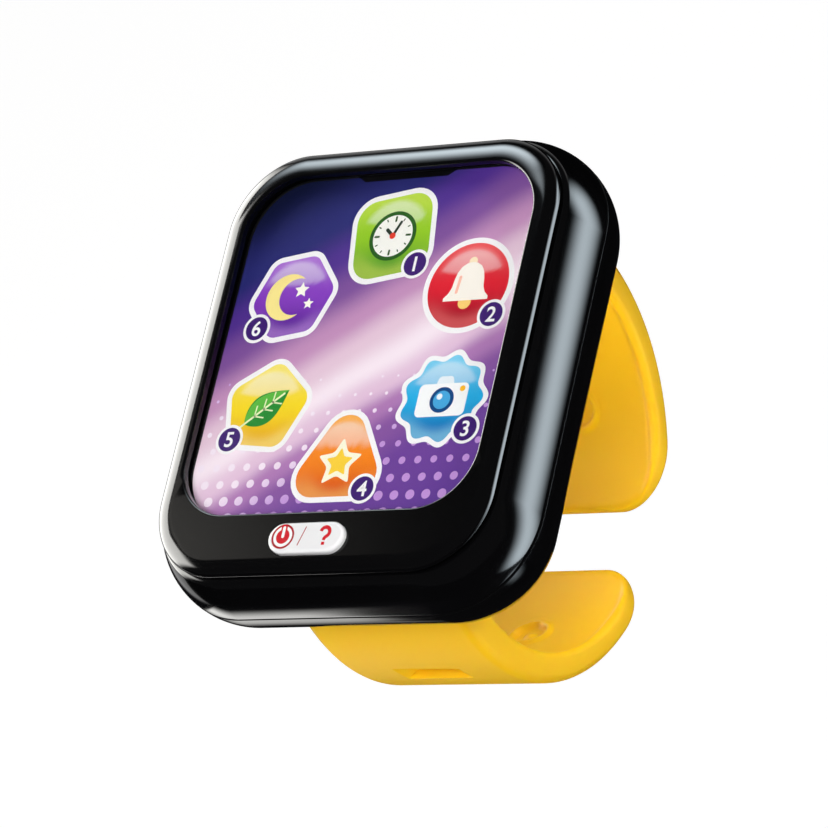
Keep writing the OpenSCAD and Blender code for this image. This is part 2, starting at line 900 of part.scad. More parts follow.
module strap_arm() {
  color(strap_yellow)
  difference() {
    union() {
      difference() {
        intersection() {
          rotate([90, 0, 90]) linear_extrude(strap_w, center = true) arm_side();
          translate([0, 0, -cuff_depth - over]) linear_extrude(cuff_depth + case_t) arm_plan(0, 0);
        }
        arm_channel();
      }
      at_ring() rod(ring_r, floor_r - ring_rise, floor_r + ring_rise);
    }
    at_ring() difference() {
      rod(ring_r - ring_t, floor_r - channel_d - over, floor_r + dimple_d);
      rod(nub_r, floor_r - stop_gap, floor_r + dimple_d);
    }
    translate([0, pin_y, pin_z]) rotate([0, 90, 0])
      cylinder(r = bar_r + running_fit, h = strap_w + 2 * over, center = true);
    tip_cut();
    thumb_slot();
  }
}

module upper_arm() {
  strap_arm();
}

module lower_arm() {
  mirror([0, 1, 0]) strap_arm();
}

front_bezel();
mid_case();
back_cover();
screen_lens();
dial_card();
touch_film();
button_cap();
switch_plunger();
tact_switch();
circuit_board();
chip_blob();
lamps();
speaker_frame();
speaker_magnet();
speaker_cone();
speaker_gasket();
speaker_leads();
cell_left();
cell_middle();
cell_right();
contact_minus();
contact_plus();
contact_link();
battery_door();
door_link();
door_screw();
case_screws();
upper_bar();
lower_bar();
upper_arm();
lower_arm();
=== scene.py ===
import json
import math

import bmesh
import bpy
from mathutils import Euler, Matrix, Vector

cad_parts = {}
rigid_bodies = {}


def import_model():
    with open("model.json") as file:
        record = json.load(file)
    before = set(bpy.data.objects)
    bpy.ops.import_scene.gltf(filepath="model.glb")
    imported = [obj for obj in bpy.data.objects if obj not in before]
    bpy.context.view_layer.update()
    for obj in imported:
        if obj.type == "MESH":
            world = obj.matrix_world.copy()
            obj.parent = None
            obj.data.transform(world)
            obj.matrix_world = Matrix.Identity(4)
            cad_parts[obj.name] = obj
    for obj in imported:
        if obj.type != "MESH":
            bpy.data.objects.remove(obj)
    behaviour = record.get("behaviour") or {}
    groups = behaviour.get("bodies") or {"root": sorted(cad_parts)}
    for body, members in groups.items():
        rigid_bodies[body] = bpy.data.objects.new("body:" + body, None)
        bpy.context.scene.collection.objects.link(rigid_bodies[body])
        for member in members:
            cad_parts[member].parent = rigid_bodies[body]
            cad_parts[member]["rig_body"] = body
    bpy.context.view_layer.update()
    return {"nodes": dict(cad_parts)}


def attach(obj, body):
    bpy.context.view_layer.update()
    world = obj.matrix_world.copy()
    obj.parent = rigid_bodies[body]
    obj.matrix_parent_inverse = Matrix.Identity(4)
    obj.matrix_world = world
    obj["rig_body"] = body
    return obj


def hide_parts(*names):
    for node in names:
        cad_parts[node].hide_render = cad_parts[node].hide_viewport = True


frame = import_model()
scene = bpy.context.scene
scene.view_settings.view_transform = "Standard"
mm = 0.001
print("frame loaded:", len(frame["nodes"]), "nodes")


def srgb(r, g, b):
    def linear(v):
        v = v / 255
        return v / 12.92 if v <= 0.04045 else ((v + 0.055) / 1.055) ** 2.4
    return (linear(r), linear(g), linear(b), 1)


# camera and studio

cameraSet = {
    "place": (353.3, -240.3, 468.6),  # mm, from the photo's perspective
    "turn": (30.221, 31.277, 14.198),  # degrees
    "lens": 217.39,
    "sensor": 36,
    "clip": (0.01, 50),
}

lens = bpy.data.cameras.new("camera")
lens.lens = cameraSet["lens"]
lens.sensor_width = cameraSet["sensor"]
lens.clip_start, lens.clip_end = cameraSet["clip"]
camera = bpy.data.objects.new("camera", lens)
camera.location = [v * mm for v in cameraSet["place"]]
camera.rotation_euler = Euler([math.radians(a) for a in cameraSet["turn"]])
scene.collection.objects.link(camera)
scene.camera = camera

# in metres and watts: wide panels round the watch, and two small round lamps at the cuff
lampSet = {
    "keyLamp": {"place": (0.26, -0.34, 0.82), "size": (0.45, 0.45), "power": 8.4, "tint": (1, 0.99, 0.98)},
    "frontLamp": {"place": (-0.45, -0.80, -0.12), "size": (0.5, 0.3), "power": 2.8, "tint": (1, 1, 1)},
    "sideLamp": {"place": (0.72, 0.34, 0.20), "size": (0.4, 0.3), "power": 6.6, "tint": (1, 0.99, 0.96)},
    "lowLamp": {"place": (0.45, -0.50, -0.30), "size": (0.3, 0.3), "power": 2.6, "tint": (1, 0.99, 0.96)},
    "cuffLamp": {"place": (0.002, 0.003, -0.013), "ball": 0.008, "power": 0.0045, "tint": (1, 0.98, 0.92)},
    "rimLamp": {"place": (0.022, 0.001, -0.014), "ball": 0.006, "power": 0.0175, "tint": (1, 0.98, 0.92)},
}


def makeLamp(name, s):
    if "ball" in s:
        lamp = bpy.data.lights.new(name, "POINT")
        lamp.shadow_soft_size = s["ball"]
    else:
        lamp = bpy.data.lights.new(name, "AREA")
        lamp.shape = "RECTANGLE"
        lamp.size, lamp.size_y = s["size"]
    lamp.energy = s["power"]
    lamp.color = s["tint"]
    holder = bpy.data.objects.new(name, lamp)
    holder.location = s["place"]
    holder.rotation_euler = (-Vector(s["place"])).to_track_quat("-Z", "Y").to_euler()
    holder.visible_glossy = False  # the black gloss shows the soft boxes only
    scene.collection.objects.link(holder)


for name, s in lampSet.items():
    makeLamp(name, s)


# node helpers

def nodeMaterial(name):
    mat = bpy.data.materials.new(name)
    mat.use_nodes = True
    return mat, mat.node_tree.nodes, mat.node_tree.links


def openMaterial(name):  # nothing on its surface yet
    mat, n, l = nodeMaterial(name)
    n.remove(n["Principled BSDF"])
    return mat, n, l


def toSurface(n, l, shader):
    l.new(shader.outputs[0], n["Material Output"].inputs["Surface"])


def mixToSurface(n, l, share, first, second):
    both = n.new("ShaderNodeMixShader")
    l.new(share, both.inputs["Fac"])
    l.new(first.outputs[0], both.inputs[1])
    l.new(second.outputs[0], both.inputs[2])
    toSurface(n, l, both)


def mathNode(n, l, kind, a, b=None, clamp=False):
    node = n.new("ShaderNodeMath")
    node.operation = kind
    node.use_clamp = clamp
    for socket, v in zip(node.inputs, (a, b)):
        if isinstance(v, (int, float)):
            socket.default_value = v
        elif v is not None:
            l.new(v, socket)
    return node.outputs[0]


def fadeNode(n, l, value, low, high, toLow=0, toHigh=1, kind="SMOOTHSTEP"):
    node = n.new("ShaderNodeMapRange")
    node.interpolation_type = kind
    for key, v in (("From Min", low), ("From Max", high), ("To Min", toLow), ("To Max", toHigh)):
        node.inputs[key].default_value = v
    l.new(value, node.inputs["Value"])
    return node.outputs["Result"]


def noiseNode(n, l, scale, detail=2):
    coord = n.new("ShaderNodeTexCoord")
    cloud = n.new("ShaderNodeTexNoise")
    cloud.inputs["Scale"].default_value = scale
    cloud.inputs["Detail"].default_value = detail
    l.new(coord.outputs["Object"], cloud.inputs["Vector"])
    return cloud.outputs["Fac"]


def mixTint(n, l, share, first, second):
    tone = n.new("ShaderNodeMix")
    tone.data_type = "RGBA"
    tone.inputs["A"].default_value = first
    tone.inputs["B"].default_value = second
    l.new(share, tone.inputs["Factor"])
    return tone.outputs["Result"]


def splitCoords(n, l, kind="Object"):
    coord = n.new("ShaderNodeTexCoord")
    parts = n.new("ShaderNodeSeparateXYZ")
    l.new(coord.outputs[kind], parts.inputs[0])
    return parts.outputs


def stagePlane(name, place, size, mat, towards=None, camera=False):
    mesh = bpy.data.meshes.new(name)
    w, h = size[0] / 2, size[1] / 2
    mesh.from_pydata([(-w, -h, 0), (w, -h, 0), (w, h, 0), (-w, h, 0)], [], [(0, 1, 2, 3)])
    mesh.materials.append(mat)
    obj = bpy.data.objects.new(name, mesh)
    obj.location = place
    if towards:
        obj.rotation_euler = Vector(towards).to_track_quat("Z", "Y").to_euler()
    obj.visible_camera = camera
    scene.collection.objects.link(obj)
    return obj


# soft boxes that the black gloss mirrors: width and height fade smoothly to nothing
boxSet = {
    "rightBox": {
        "place": (0.46, 0.10, -0.185), "size": (1.5, 0.60), "glow": 10.8, "tint": (0.8, 0.925, 1, 1),
        "ends": 0.6, "up": 0.19, "foot": 0.26, "turn": -28},
    "cornerBox": {
        "place": (0.20, -0.17, -0.27), "size": (0.16, 0.16), "glow": 4.0, "tint": (0.8, 0.925, 1, 1),
        "ends": 1, "level": True},
    "leftBox": {
        "place": (-0.60, 0.12, 0.17), "size": (0.96, 0.74), "glow": 10.0, "tint": (1, 0.99, 0.95, 1),
        "ends": 0.45, "sides": 0.3},
    "backBox": {
        "place": (-0.259, 0.429, 0.348), "size": (0.46, 0.40), "glow": 13.5, "tint": (0.82, 0.93, 1, 1),
        "ends": 0.8, "up": 0.20, "foot": 0.12, "turn": 52},
    "lowBox": {
        "place": (-0.2945, -0.178, -0.27), "size": (0.16, 0.37), "glow": 3.9, "tint": (1, 0.99, 0.96, 1),
        "ends": 0.2, "level": True, "turn": -22.6},
    "chinBox": {
        "place": (-0.365, 0.15, 0.40), "size": (0.16, 0.16), "glow": 1.1, "tint": (1, 0.97, 0.9, 1),
        "ends": 1},
}


def softBox(name, s):
    mat, n, l = openMaterial(name)
    parts = splitCoords(n, l)
    halfW, halfH = s["size"][0] / 2, s["size"][1] / 2
    if "foot" in s:  # its own fade above and below the middle
        above = fadeNode(n, l, parts["Y"], 0, s["up"], 1, 0)
        bell = mathNode(n, l, "MINIMUM", above, fadeNode(n, l, parts["Y"], -s["foot"], 0))
    else:
        across = mathNode(n, l, "ABSOLUTE", parts["Y"])
        bell = fadeNode(n, l, across, halfH * (1 - s.get("sides", 1)), halfH, 1, 0)
    run = fadeNode(n, l, mathNode(n, l, "ABSOLUTE", parts["X"]), halfW * (1 - s["ends"]), halfW, 1, 0)
    glow = n.new("ShaderNodeEmission")
    glow.inputs["Color"].default_value = s["tint"]
    power = mathNode(n, l, "MULTIPLY", mathNode(n, l, "MULTIPLY", bell, run), s["glow"])
    l.new(power, glow.inputs["Strength"])
    toSurface(n, l, glow)
    towards = None if s.get("level") else -Vector(s["place"])
    box = stagePlane(name, s["place"], s["size"], mat, towards)
    spin = Matrix.Rotation(math.radians(s.get("turn", 0)), 3, "Z")
    box.rotation_euler = (box.rotation_euler.to_matrix() @ spin).to_euler()
    box.visible_diffuse = False


for name, s in boxSet.items():
    softBox(name, s)

# dark card under the right and front, seen by mirror rays alone
flagSet = {
    "depth": -0.40,
    "reach": 9.0,
    "left": (-0.75, -0.6),
    "front": (-0.42, -0.34),
    "black": (0.01, 0.01, 0.012, 1),
}


def darkFlag(s):
    mat, n, l = openMaterial("darkFlag")
    parts = splitCoords(n, l)
    side = fadeNode(n, l, parts["X"], *s["left"])
    front = fadeNode(n, l, parts["Y"], *s["front"], 1, 0)
    black = n.new("ShaderNodeBsdfDiffuse")
    black.inputs["Color"].default_value = s["black"]
    clear = n.new("ShaderNodeBsdfTransparent")
    mixToSurface(n, l, mathNode(n, l, "MAXIMUM", side, front), clear, black)
    flag = stagePlane("darkFlag", (0, 0, s["depth"]), (2 * s["reach"], 2 * s["reach"]), mat)
    flag.visible_diffuse = flag.visible_shadow = flag.visible_transmission = False


darkFlag(flagSet)

worldSet = {
    "tint": (0.98, 0.99, 1, 1),
    "sky": 0.035,
    "horizon": 0.8,  # bright low at the back left only
    "side": (-0.56, 0.83, 0),
    "sideFade": 0.6,
    "lowFade": 0.35,
}


def makeWorld(s):
    world = bpy.data.worlds.new("studio")
    world.use_nodes = True
    scene.world = world
    n, l = world.node_tree.nodes, world.node_tree.links
    ways = n.new("ShaderNodeTexCoord")
    lean = n.new("ShaderNodeVectorMath")
    lean.operation = "DOT_PRODUCT"
    lean.inputs[1].default_value = s["side"]
    l.new(ways.outputs["Generated"], lean.inputs[0])
    sideShare = fadeNode(n, l, lean.outputs["Value"], 0, s["sideFade"])
    lowShare = fadeNode(n, l, splitCoords(n, l, "Generated")["Z"], 0, s["lowFade"], 1, 0)
    band = mathNode(n, l, "MULTIPLY", mathNode(n, l, "MULTIPLY", sideShare, lowShare), s["horizon"])
    l.new(mathNode(n, l, "ADD", band, s["sky"]), n["Background"].inputs["Strength"])
    n["Background"].inputs["Color"].default_value = s["tint"]


makeWorld(worldSet)

floorSet = {"depth": -0.42, "reach": 8, "paper": 0.3, "lift": 0.88}


def paperFloor(s):
    mat, n, l = openMaterial("palePaper")
    matte = n.new("ShaderNodeBsdfDiffuse")
    matte.inputs["Color"].default_value = (s["paper"],) * 3 + (1,)
    path = n.new("ShaderNodeLightPath")
    seen = mathNode(n, l, "MAXIMUM", path.outputs["Is Camera Ray"], path.outputs["Is Glossy Ray"])
    seen = mathNode(n, l, "MAXIMUM", seen, path.outputs["Is Transmission Ray"])
    glow = n.new("ShaderNodeEmission")
    l.new(mathNode(n, l, "MULTIPLY", seen, s["lift"]), glow.inputs["Strength"])
    both = n.new("ShaderNodeAddShader")
    l.new(matte.outputs[0], both.inputs[0])
    l.new(glow.outputs[0], both.inputs[1])
    toSurface(n, l, both)
    stagePlane("floor", (0, 0, s["depth"]), (2 * s["reach"], 2 * s["reach"]), mat, camera=True)


paperFloor(floorSet)
print("studio ready")


# materials

finishBase = {  # what a finish has unless it says otherwise
    "cloud": 60,  # noise scale of tone and roughness
    "cloudDetail": 3,
    "grain": 2500,  # noise scale of the bump
    "bump": 0.02,
    "bumpDepth": 0.05 * mm,
    "metal": 0,
    "shine": 0.5,
    "depth": 0,  # share of light that goes into the plastic
    "reach": 0.002,
    "bleed": (1, 0.4, 0.08),
}

finishes = {
    "pianoBlack": {
        "dark": srgb(4, 4, 5), "light": srgb(7, 7, 8), "rough": (0.07, 0.11), "shine": 0.45, "bump": 0.01},
    "wellBlack": {
        "dark": srgb(14, 14, 15), "light": srgb(22, 22, 24), "rough": (0.35, 0.5), "shine": 0.4},
    "strapYellow": {
        "dark": srgb(232, 179, 18), "light": srgb(241, 192, 30), "rough": (0.42, 0.5), "shine": 0.1,
        "depth": 0.25, "reach": 0.003, "bump": 0.03},
    "buttonWhite": {"dark": srgb(236, 236, 238), "light": srgb(244, 244, 245), "rough": (0.12, 0.18)},
    "switchGrey": {"dark": srgb(42, 42, 46), "light": srgb(58, 58, 62), "rough": (0.4, 0.5)},
    "boardGreen": {"dark": srgb(24, 78, 40), "light": srgb(36, 98, 52), "rough": (0.3, 0.42)},
    "chipResin": {"dark": srgb(14, 14, 14), "light": srgb(24, 24, 24), "rough": (0.2, 0.3)},
    "lampResin": {"dark": srgb(236, 226, 188), "light": srgb(248, 244, 224), "rough": (0.12, 0.2)},
    "zincSteel": {
        "dark": srgb(150, 153, 158), "light": srgb(196, 199, 203), "rough": (0.22, 0.34),
        "metal": 1, "cloud": 300},
    "coneFilm": {"dark": srgb(206, 202, 190), "light": srgb(228, 224, 214), "rough": (0.3, 0.4)},
    "gasketFoam": {
        "dark": srgb(36, 36, 38), "light": srgb(58, 58, 60), "rough": (0.8, 0.95),
        "bump": 0.4, "grain": 1200},
    "leadRed": {"dark": srgb(150, 36, 28), "light": srgb(186, 52, 40), "rough": (0.35, 0.45)},
    "cellSteel": {
        "dark": srgb(176, 178, 182), "light": srgb(212, 214, 216), "rough": (0.16, 0.26),
        "metal": 1, "cloud": 200},
    "contactBrass": {
        "dark": srgb(186, 154, 86), "light": srgb(222, 194, 124), "rough": (0.22, 0.34),
        "metal": 1, "cloud": 200},
    "filmAmber": {"dark": srgb(178, 122, 44), "light": srgb(204, 150, 70), "rough": (0.2, 0.3)},
}


def moulded(name, own):
    s = dict(finishBase, **own)
    mat, n, l = nodeMaterial(name)
    shader = n["Principled BSDF"]
    cloud = noiseNode(n, l, s["cloud"], s["cloudDetail"])
    l.new(mixTint(n, l, cloud, s["dark"], s["light"]), shader.inputs["Base Color"])
    l.new(fadeNode(n, l, cloud, 0, 1, *s["rough"], "LINEAR"), shader.inputs["Roughness"])
    bump = n.new("ShaderNodeBump")
    bump.inputs["Strength"].default_value = s["bump"]
    bump.inputs["Distance"].default_value = s["bumpDepth"]
    l.new(noiseNode(n, l, s["grain"]), bump.inputs["Height"])
    l.new(bump.outputs["Normal"], shader.inputs["Normal"])
    for socket, key in (("Metallic", "metal"), ("Specular IOR Level", "shine"),
                        ("Subsurface Weight", "depth"), ("Subsurface Scale", "reach"),
                        ("Subsurface Radius", "bleed")):
        shader.inputs[socket].default_value = s[key]
    return mat


mats = {name: moulded(name, s) for name, s in finishes.items()}
print("finishes ready:", len(mats))


# mesh helpers

def smooth(a, b, v):
    t = min(1, max(0, (v - a) / (b - a)))
    return t * t * (3 - 2 * t)


def around(centre, r, a):
    return (centre[0] + r * math.cos(a), centre[1] + r * math.sin(a))


def arc(cx, cz, r, start, end, steps):
    return [around((cx, cz), r, math.radians(start + (end - start) * i / steps)) for i in range(steps + 1)]


def roundLoop(half, r, centre=(0, 0), steps=28, straight=12):  # r is a reach, or a function of the way out
    reach = r if callable(r) else lambda a: r
    corners = ((1, 1), (-1, 1), (-1, -1), (1, -1))
    pts = []

    def add(sx, sy, a):
        pts.append(around((centre[0] + sx * half[0], centre[1] + sy * half[1]), reach(a), a))

    for k, (sx, sy) in enumerate(corners):
        for i in range(steps + 1):
            add(sx, sy, math.radians(90 * k + 90 * i / steps))
        tx, ty = corners[(k + 1) % 4]
        for i in range(1, straight):
            add(sx + (tx - sx) * i / straight, sy + (ty - sy) * i / straight, math.radians(90 * k + 90))
    return pts


def pillLoop(half, r, centre, steps=48):
    x, y = centre
    return arc(x + half, y, r, -90, 90, steps) + arc(x - half, y, r, 90, 270, steps)


def addLoop(bm, pts, z):
    return [bm.verts.new((x * mm, y * mm, z * mm)) for x, y in pts]


def bridge(bm, a, b):
    n = len(a)
    for i in range(n):
        j = (i + 1) % n
        bm.faces.new((a[i], a[j], b[j], b[i]))


def skin(bm, loops):
    for a, b in zip(loops, loops[1:]):
        bridge(bm, a, b)


def fillBetween(bm, loops):
    edges = []
    for loop in loops:
        for i in range(len(loop)):
            pair = (loop[i], loop[(i + 1) % len(loop)])
            edges.append(bm.edges.get(pair) or bm.edges.new(pair))
    bmesh.ops.triangle_fill(bm, use_beauty=True, use_dissolve=False, edges=edges)


def makePiece(name, bm, mat, sharp=40, merge=True):
    if merge:
        bmesh.ops.remove_doubles(bm, verts=bm.verts, dist=1e-6)
    bmesh.ops.recalc_face_normals(bm, faces=bm.faces)
    mesh = bpy.data.meshes.new(name)
    bm.to_mesh(mesh)
    bm.free()
    mesh.shade_smooth()
    mesh.set_sharp_from_angle(angle=math.radians(sharp))
    mesh.materials.append(mat)
    obj = bpy.data.objects.new(name, mesh)
    scene.collection.objects.link(obj)
    return obj


def bakeModifiers(obj):
    graph = bpy.context.evaluated_depsgraph_get()
    ready = obj.evaluated_get(graph)
    done = bpy.data.meshes.new_from_object(ready, preserve_all_data_layers=True, depsgraph=graph)
    obj.modifiers.clear()
    old = obj.data
    obj.data = done
    bpy.data.meshes.remove(old)
    done.name = obj.name
    return obj


def evenNormals(obj):
    weigh = obj.modifiers.new("weigh", "WEIGHTED_NORMAL")
    weigh.weight = 90
    weigh.keep_sharp = True
    return bakeModifiers(obj)


def fit(obj, body, node=None):
    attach(obj, body)
    if node:
        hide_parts(node)


copySet = {"weld": 2e-6, "flat": 0.5, "sharp": 30, "segments": 2}


def dressCopy(node, mat, bevel, reshape=None):  # the node's own shape, with softened edges
    s = copySet
    bm = bmesh.new()
    bm.from_mesh(frame["nodes"][node].data)
    bmesh.ops.remove_doubles(bm, verts=bm.verts, dist=s["weld"])
    bmesh.ops.dissolve_limit(bm, angle_limit=math.radians(s["flat"]), verts=bm.verts, edges=bm.edges)
    if reshape:
        for v in bm.verts:
            v.co = reshape(v.co)
    obj = makePiece(node.replace("_", "-") + "-look", bm, mats[mat], s["sharp"], False)
    if bevel:
        cut = obj.modifiers.new("soften", "BEVEL")
        cut.width = bevel * mm
        cut.segments = s["segments"]
        cut.limit_method = "ANGLE"
        cut.angle_limit = math.radians(s["sharp"])
        cut.harden_normals = True
        bakeModifiers(obj)
    fit(obj, frame["nodes"][node]["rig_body"], node)


# black shells

shellSet = {
    "core": (14.55, 19.15),  # half sides of the rectangle that every outline grows from
    "widest": (12.9, 7.6),  # reach from the core and height of the widest line
    "midTop": (10.7, 14.25),
    "midArc": 11.15,
    "midSteps": 22,
    "midTrim": 1.6,  # degrees left off the arc for the top edge
    "midLip": ((0.45, 0), (0.28, 0.02), (0.13, 0.09)),  # in from and down from the top edge
    "seam": 0.16,
    "seamEdge": (0.05, 0.06),
    "seamRise": 0.01,
    "deck": (12.4, 11.6),  # top and underside of the floor inside
    "deckReach": (9.7, 9.5),
    "skirt": (10.6, 6.0),  # reach and low end of the tongue into the back cover
    "bezelReach": 10.45,
    "bezelLow": 15.05,
    "bezelFoot": 12.6,
    "front": 16.5,
    "wall": (0.066, 0.25),  # drafted edge below the roll
    "wallSteps": (0.15, 0.5, 0.85),
    "rollWide": {"chin": 1.9, "left": 2.6, "top": 3.1, "right": 1.7},
    "rollSide": (-0.3, 0.6),  # of the way out, over which one width becomes the next
    "rollTop": (0, 0.6),
    "rollChin": (0.7, 1),
    "rollStart": 12,
    "rollSteps": 18,
    "grooveReach": 9.6,
    "lip": 0.14,
    "lipSteps": 4,
    "windowHalf": (14.0, 15.85),
    "windowR": 8.0,
    "windowY": 2.25,
    "windowEdge": 0.3,
    "edgeSteps": 6,
    "glazeGrow": 0.95,
    "lensTop": 15.5,
    "buttonY": -25.38,
    "buttonHalf": 3.4,
    "buttonHole": 2.2,
    "buttonFloor": 14.2,
    "stemY": -25.58,
    "stemHole": 1.6,
    "stemSteps": 24,
}


def rollWidth(s, way):
    wide, up, right = s["rollWide"], math.sin(way), math.cos(way)
    side = wide["left"] + (wide["right"] - wide["left"]) * smooth(*s["rollSide"], right)
    top = (wide["top"] - side) * smooth(*s["rollTop"], up)
    return side + top + (wide["chin"] - side) * smooth(*s["rollChin"], -up)


def makeBezel(s):
    bm = bmesh.new()
    core, top, low, lip, reach = s["core"], s["front"], s["bezelLow"], s["lip"], s["bezelReach"]
    wallIn, wallUp = s["wall"]
    start = low + lip + wallUp  # where the roll begins
    profile = [(s["grooveReach"], s["bezelFoot"]), (s["grooveReach"], low), (reach - lip, low)]
    profile += arc(reach - lip, low + lip, lip, -90, 0, s["lipSteps"])
    profile += [(reach - wallIn * f, start - wallUp * (1 - f)) for f in s["wallSteps"]]
    outer = [addLoop(bm, roundLoop(core, r), z) for r, z in profile]
    first = math.radians(s["rollStart"])
    high = (top - start) / (1 - math.sin(first))
    for k in range(s["rollSteps"] + 1):
        a = first + (math.pi / 2 - first) * k / s["rollSteps"]

        def rolled(way, a=a):
            return reach - wallIn + rollWidth(s, way) * (math.cos(a) - math.cos(first))

        outer.append(addLoop(bm, roundLoop(core, rolled), top - high * (1 - math.sin(a))))
    skin(bm, outer)
    edge, wr, grow = s["windowEdge"], s["windowR"], s["glazeGrow"]
    wall = [(wr + edge - u, top - edge + w) for w, u in arc(0, 0, edge, 0, 90, s["edgeSteps"])]
    wall += [(wr, s["lensTop"]), (wr + grow, s["lensTop"]), (wr + grow, s["bezelFoot"])]
    inner = [addLoop(bm, roundLoop(s["windowHalf"], r, (0, s["windowY"])), z) for r, z in wall]
    skin(bm, inner)
    bridge(bm, inner[-1], outer[0])
    pill = pillLoop(s["buttonHalf"], s["buttonHole"], (0, s["buttonY"]))
    slot = [addLoop(bm, pill, z) for z in (top, s["buttonFloor"])]
    skin(bm, slot)
    fillBetween(bm, [outer[-1], inner[0], slot[0]])
    return evenNormals(makePiece("bezelShell", bm, mats["pianoBlack"]))


def makeMid(s):
    bm = bmesh.new()
    (wideR, wideZ), (topR, topZ), big, seam = s["widest"], s["midTop"], s["midArc"], s["seam"]
    cx = wideR - big
    low = math.degrees(math.asin(seam / big))
    high = math.degrees(math.acos((topR - cx) / big)) - s["midTrim"]
    (deckTop, deckLow), (deckIn, tongueIn), (skirtR, skirtZ) = s["deck"], s["deckReach"], s["skirt"]
    profile = [(deckIn, deckTop), (deckIn, topZ)]
    profile += [(topR - x, topZ - z) for x, z in s["midLip"]]
    profile += arc(cx, wideZ, big, high, low, s["midSteps"])
    profile += [(wideR - s["seamEdge"][0], wideZ + s["seamEdge"][1]), (wideR - seam, wideZ + s["seamRise"])]
    profile += [(skirtR, wideZ), (skirtR, skirtZ), (tongueIn, skirtZ), (tongueIn, deckLow)]
    loops = [addLoop(bm, roundLoop(s["core"], r), z) for r, z in profile]
    skin(bm, loops)
    stem = arc(0, s["stemY"], s["stemHole"], 0, 360, s["stemSteps"])[:-1]
    hole = [addLoop(bm, stem, z) for z in s["deck"]]
    skin(bm, hole)
    fillBetween(bm, [loops[0], hole[0]])
    fillBetween(bm, [loops[-1], hole[1]])
    return evenNormals(makePiece("middleShell", bm, mats["pianoBlack"]))


fit(makeBezel(shellSet), "case", "front_bezel")
fit(makeMid(shellSet), "case", "mid_case")
dressCopy("back_cover", "pianoBlack", 0.12)
print("shells ready")


# strap arms

armSet = {
    "outer": (30.102, -11.898),  # radius and centre height of the outer curve
    "inner": (25.702, -12.998),
    "halfWide": 12.2,
    "tip": {"upperArm": 4.0, "lowerArm": 4.6},
    "tipCorner": 6.5,  # across the arm
    "tipLong": 9.5,  # along it
    "tipFade": 1.5,
    "root": -2.0,
    "pin": (25.0, 2.7),
    "knuckle": 2.4,
    "knuckleTurn": (10, 90, 8),  # degrees from and to, and steps
    "outerEdge": 1.3,
    "edgeTurns": range(0, 91, 15),  # degrees round the edge
    "tipEdge": 1.6,
    "rimEdge": 0.8,
    "rimWide": 1.3,
    "tipRim": -0.8,
    "channel": 0.8,
    "channelSide": (-0.5, 1.0),  # from the rim's foot to the full depth
    "channelTop": (-5.2, -3.8),  # heights between which it runs out
    "ringAngle": 38,
    "ringRise": 0.42,
    "ringOut": (3.26, 2.88),  # where a slope starts and ends, from the ring's middle
    "ringIn": (2.42, 2.05),
    "nub": (1.05, 0.3),
    "dimple": 0.4,
    "slotAngle": (80.43, 88.09),
    "slotSlack": 0.05,
    "slotWide": (3.7, 5.0),
    "slotDeep": 1.1,
    "tipSteps": 44,
    "armSteps": 150,
    "neckSteps": 5,
    "neckSlack": 0.01,
    "slotRows": (-0.0035, -0.0012, 0.0012, 0.0035),  # shares of the arm beside each end of the slot
    "slotColumn": 0.15,
    "rimColumns": (1.15, 1.4, 1.65, 1.9, 2.2, 2.6),  # mm in from the side
    "columns": (9.1, 0.4),  # the first of the rest, and their step
    "ringColumns": (4.4, 0.21),
    "lastColumn": 0.1,
    "sharp": 60,
}


def insideTip(x, y, half, tip, corner):
    qx, qy = abs(x) - (half - corner), tip + corner - y
    if qx > 0 and qy > 0:
        return corner - math.hypot(qx, qy)
    return corner - max(qx, qy)


def quarter(edge, d):
    return 0 if d >= edge else edge - math.sqrt(max(0, edge * edge - (edge - d) ** 2))


def armColumns(s):  # places across the arm, as shares of its half width
    half, edge = s["halfWide"], s["outerEdge"]
    xs = [half - edge * (1 - math.cos(math.radians(a))) for a in s["edgeTurns"]]
    xs += [half - d for d in s["rimColumns"]]
    x, step = s["columns"]
    fine, fineStep = s["ringColumns"]
    while x > s["lastColumn"]:
        xs.append(x)
        x -= fineStep if x < fine else step
    xs += [v - d for v in s["slotWide"] for d in (0, s["slotColumn"])]
    xs = sorted(set(round(v, 3) for v in xs))
    return [-v / half for v in reversed(xs)] + [0] + [v / half for v in xs]


def armRows(s):  # angle outside, angle inside, place in the tip's outline, half width
    (bigR, bigZ), (smallR, smallZ) = s["outer"], s["inner"]
    tip, corner, long, half = s["tip"], s["tipCorner"], s["tipLong"], s["halfWide"]

    def angles(y):
        return math.degrees(math.asin(y / bigR)), math.degrees(math.asin(y / smallR))

    rows = []
    for i in range(s["tipSteps"]):
        a = math.radians(90 * i / s["tipSteps"])
        up = 1 - math.cos(a)
        rows.append((*angles(tip + long * up), tip + corner * up, half - corner + corner * math.sin(a)))
    out0, in0 = angles(tip + long)
    out1 = math.degrees(math.acos((bigZ - s["root"]) / bigR))
    in1 = math.degrees(math.acos((smallZ - s["root"]) / smallR))
    shares = [i / s["armSteps"] for i in range(s["armSteps"] + 1)]
    shares += [(end - out0) / (out1 - out0) + d for end in s["slotAngle"] for d in s["slotRows"]]
    for u in sorted(shares):
        rows.append((out0 + u * (out1 - out0), in0 + u * (in1 - in0), math.inf, half))
    return rows


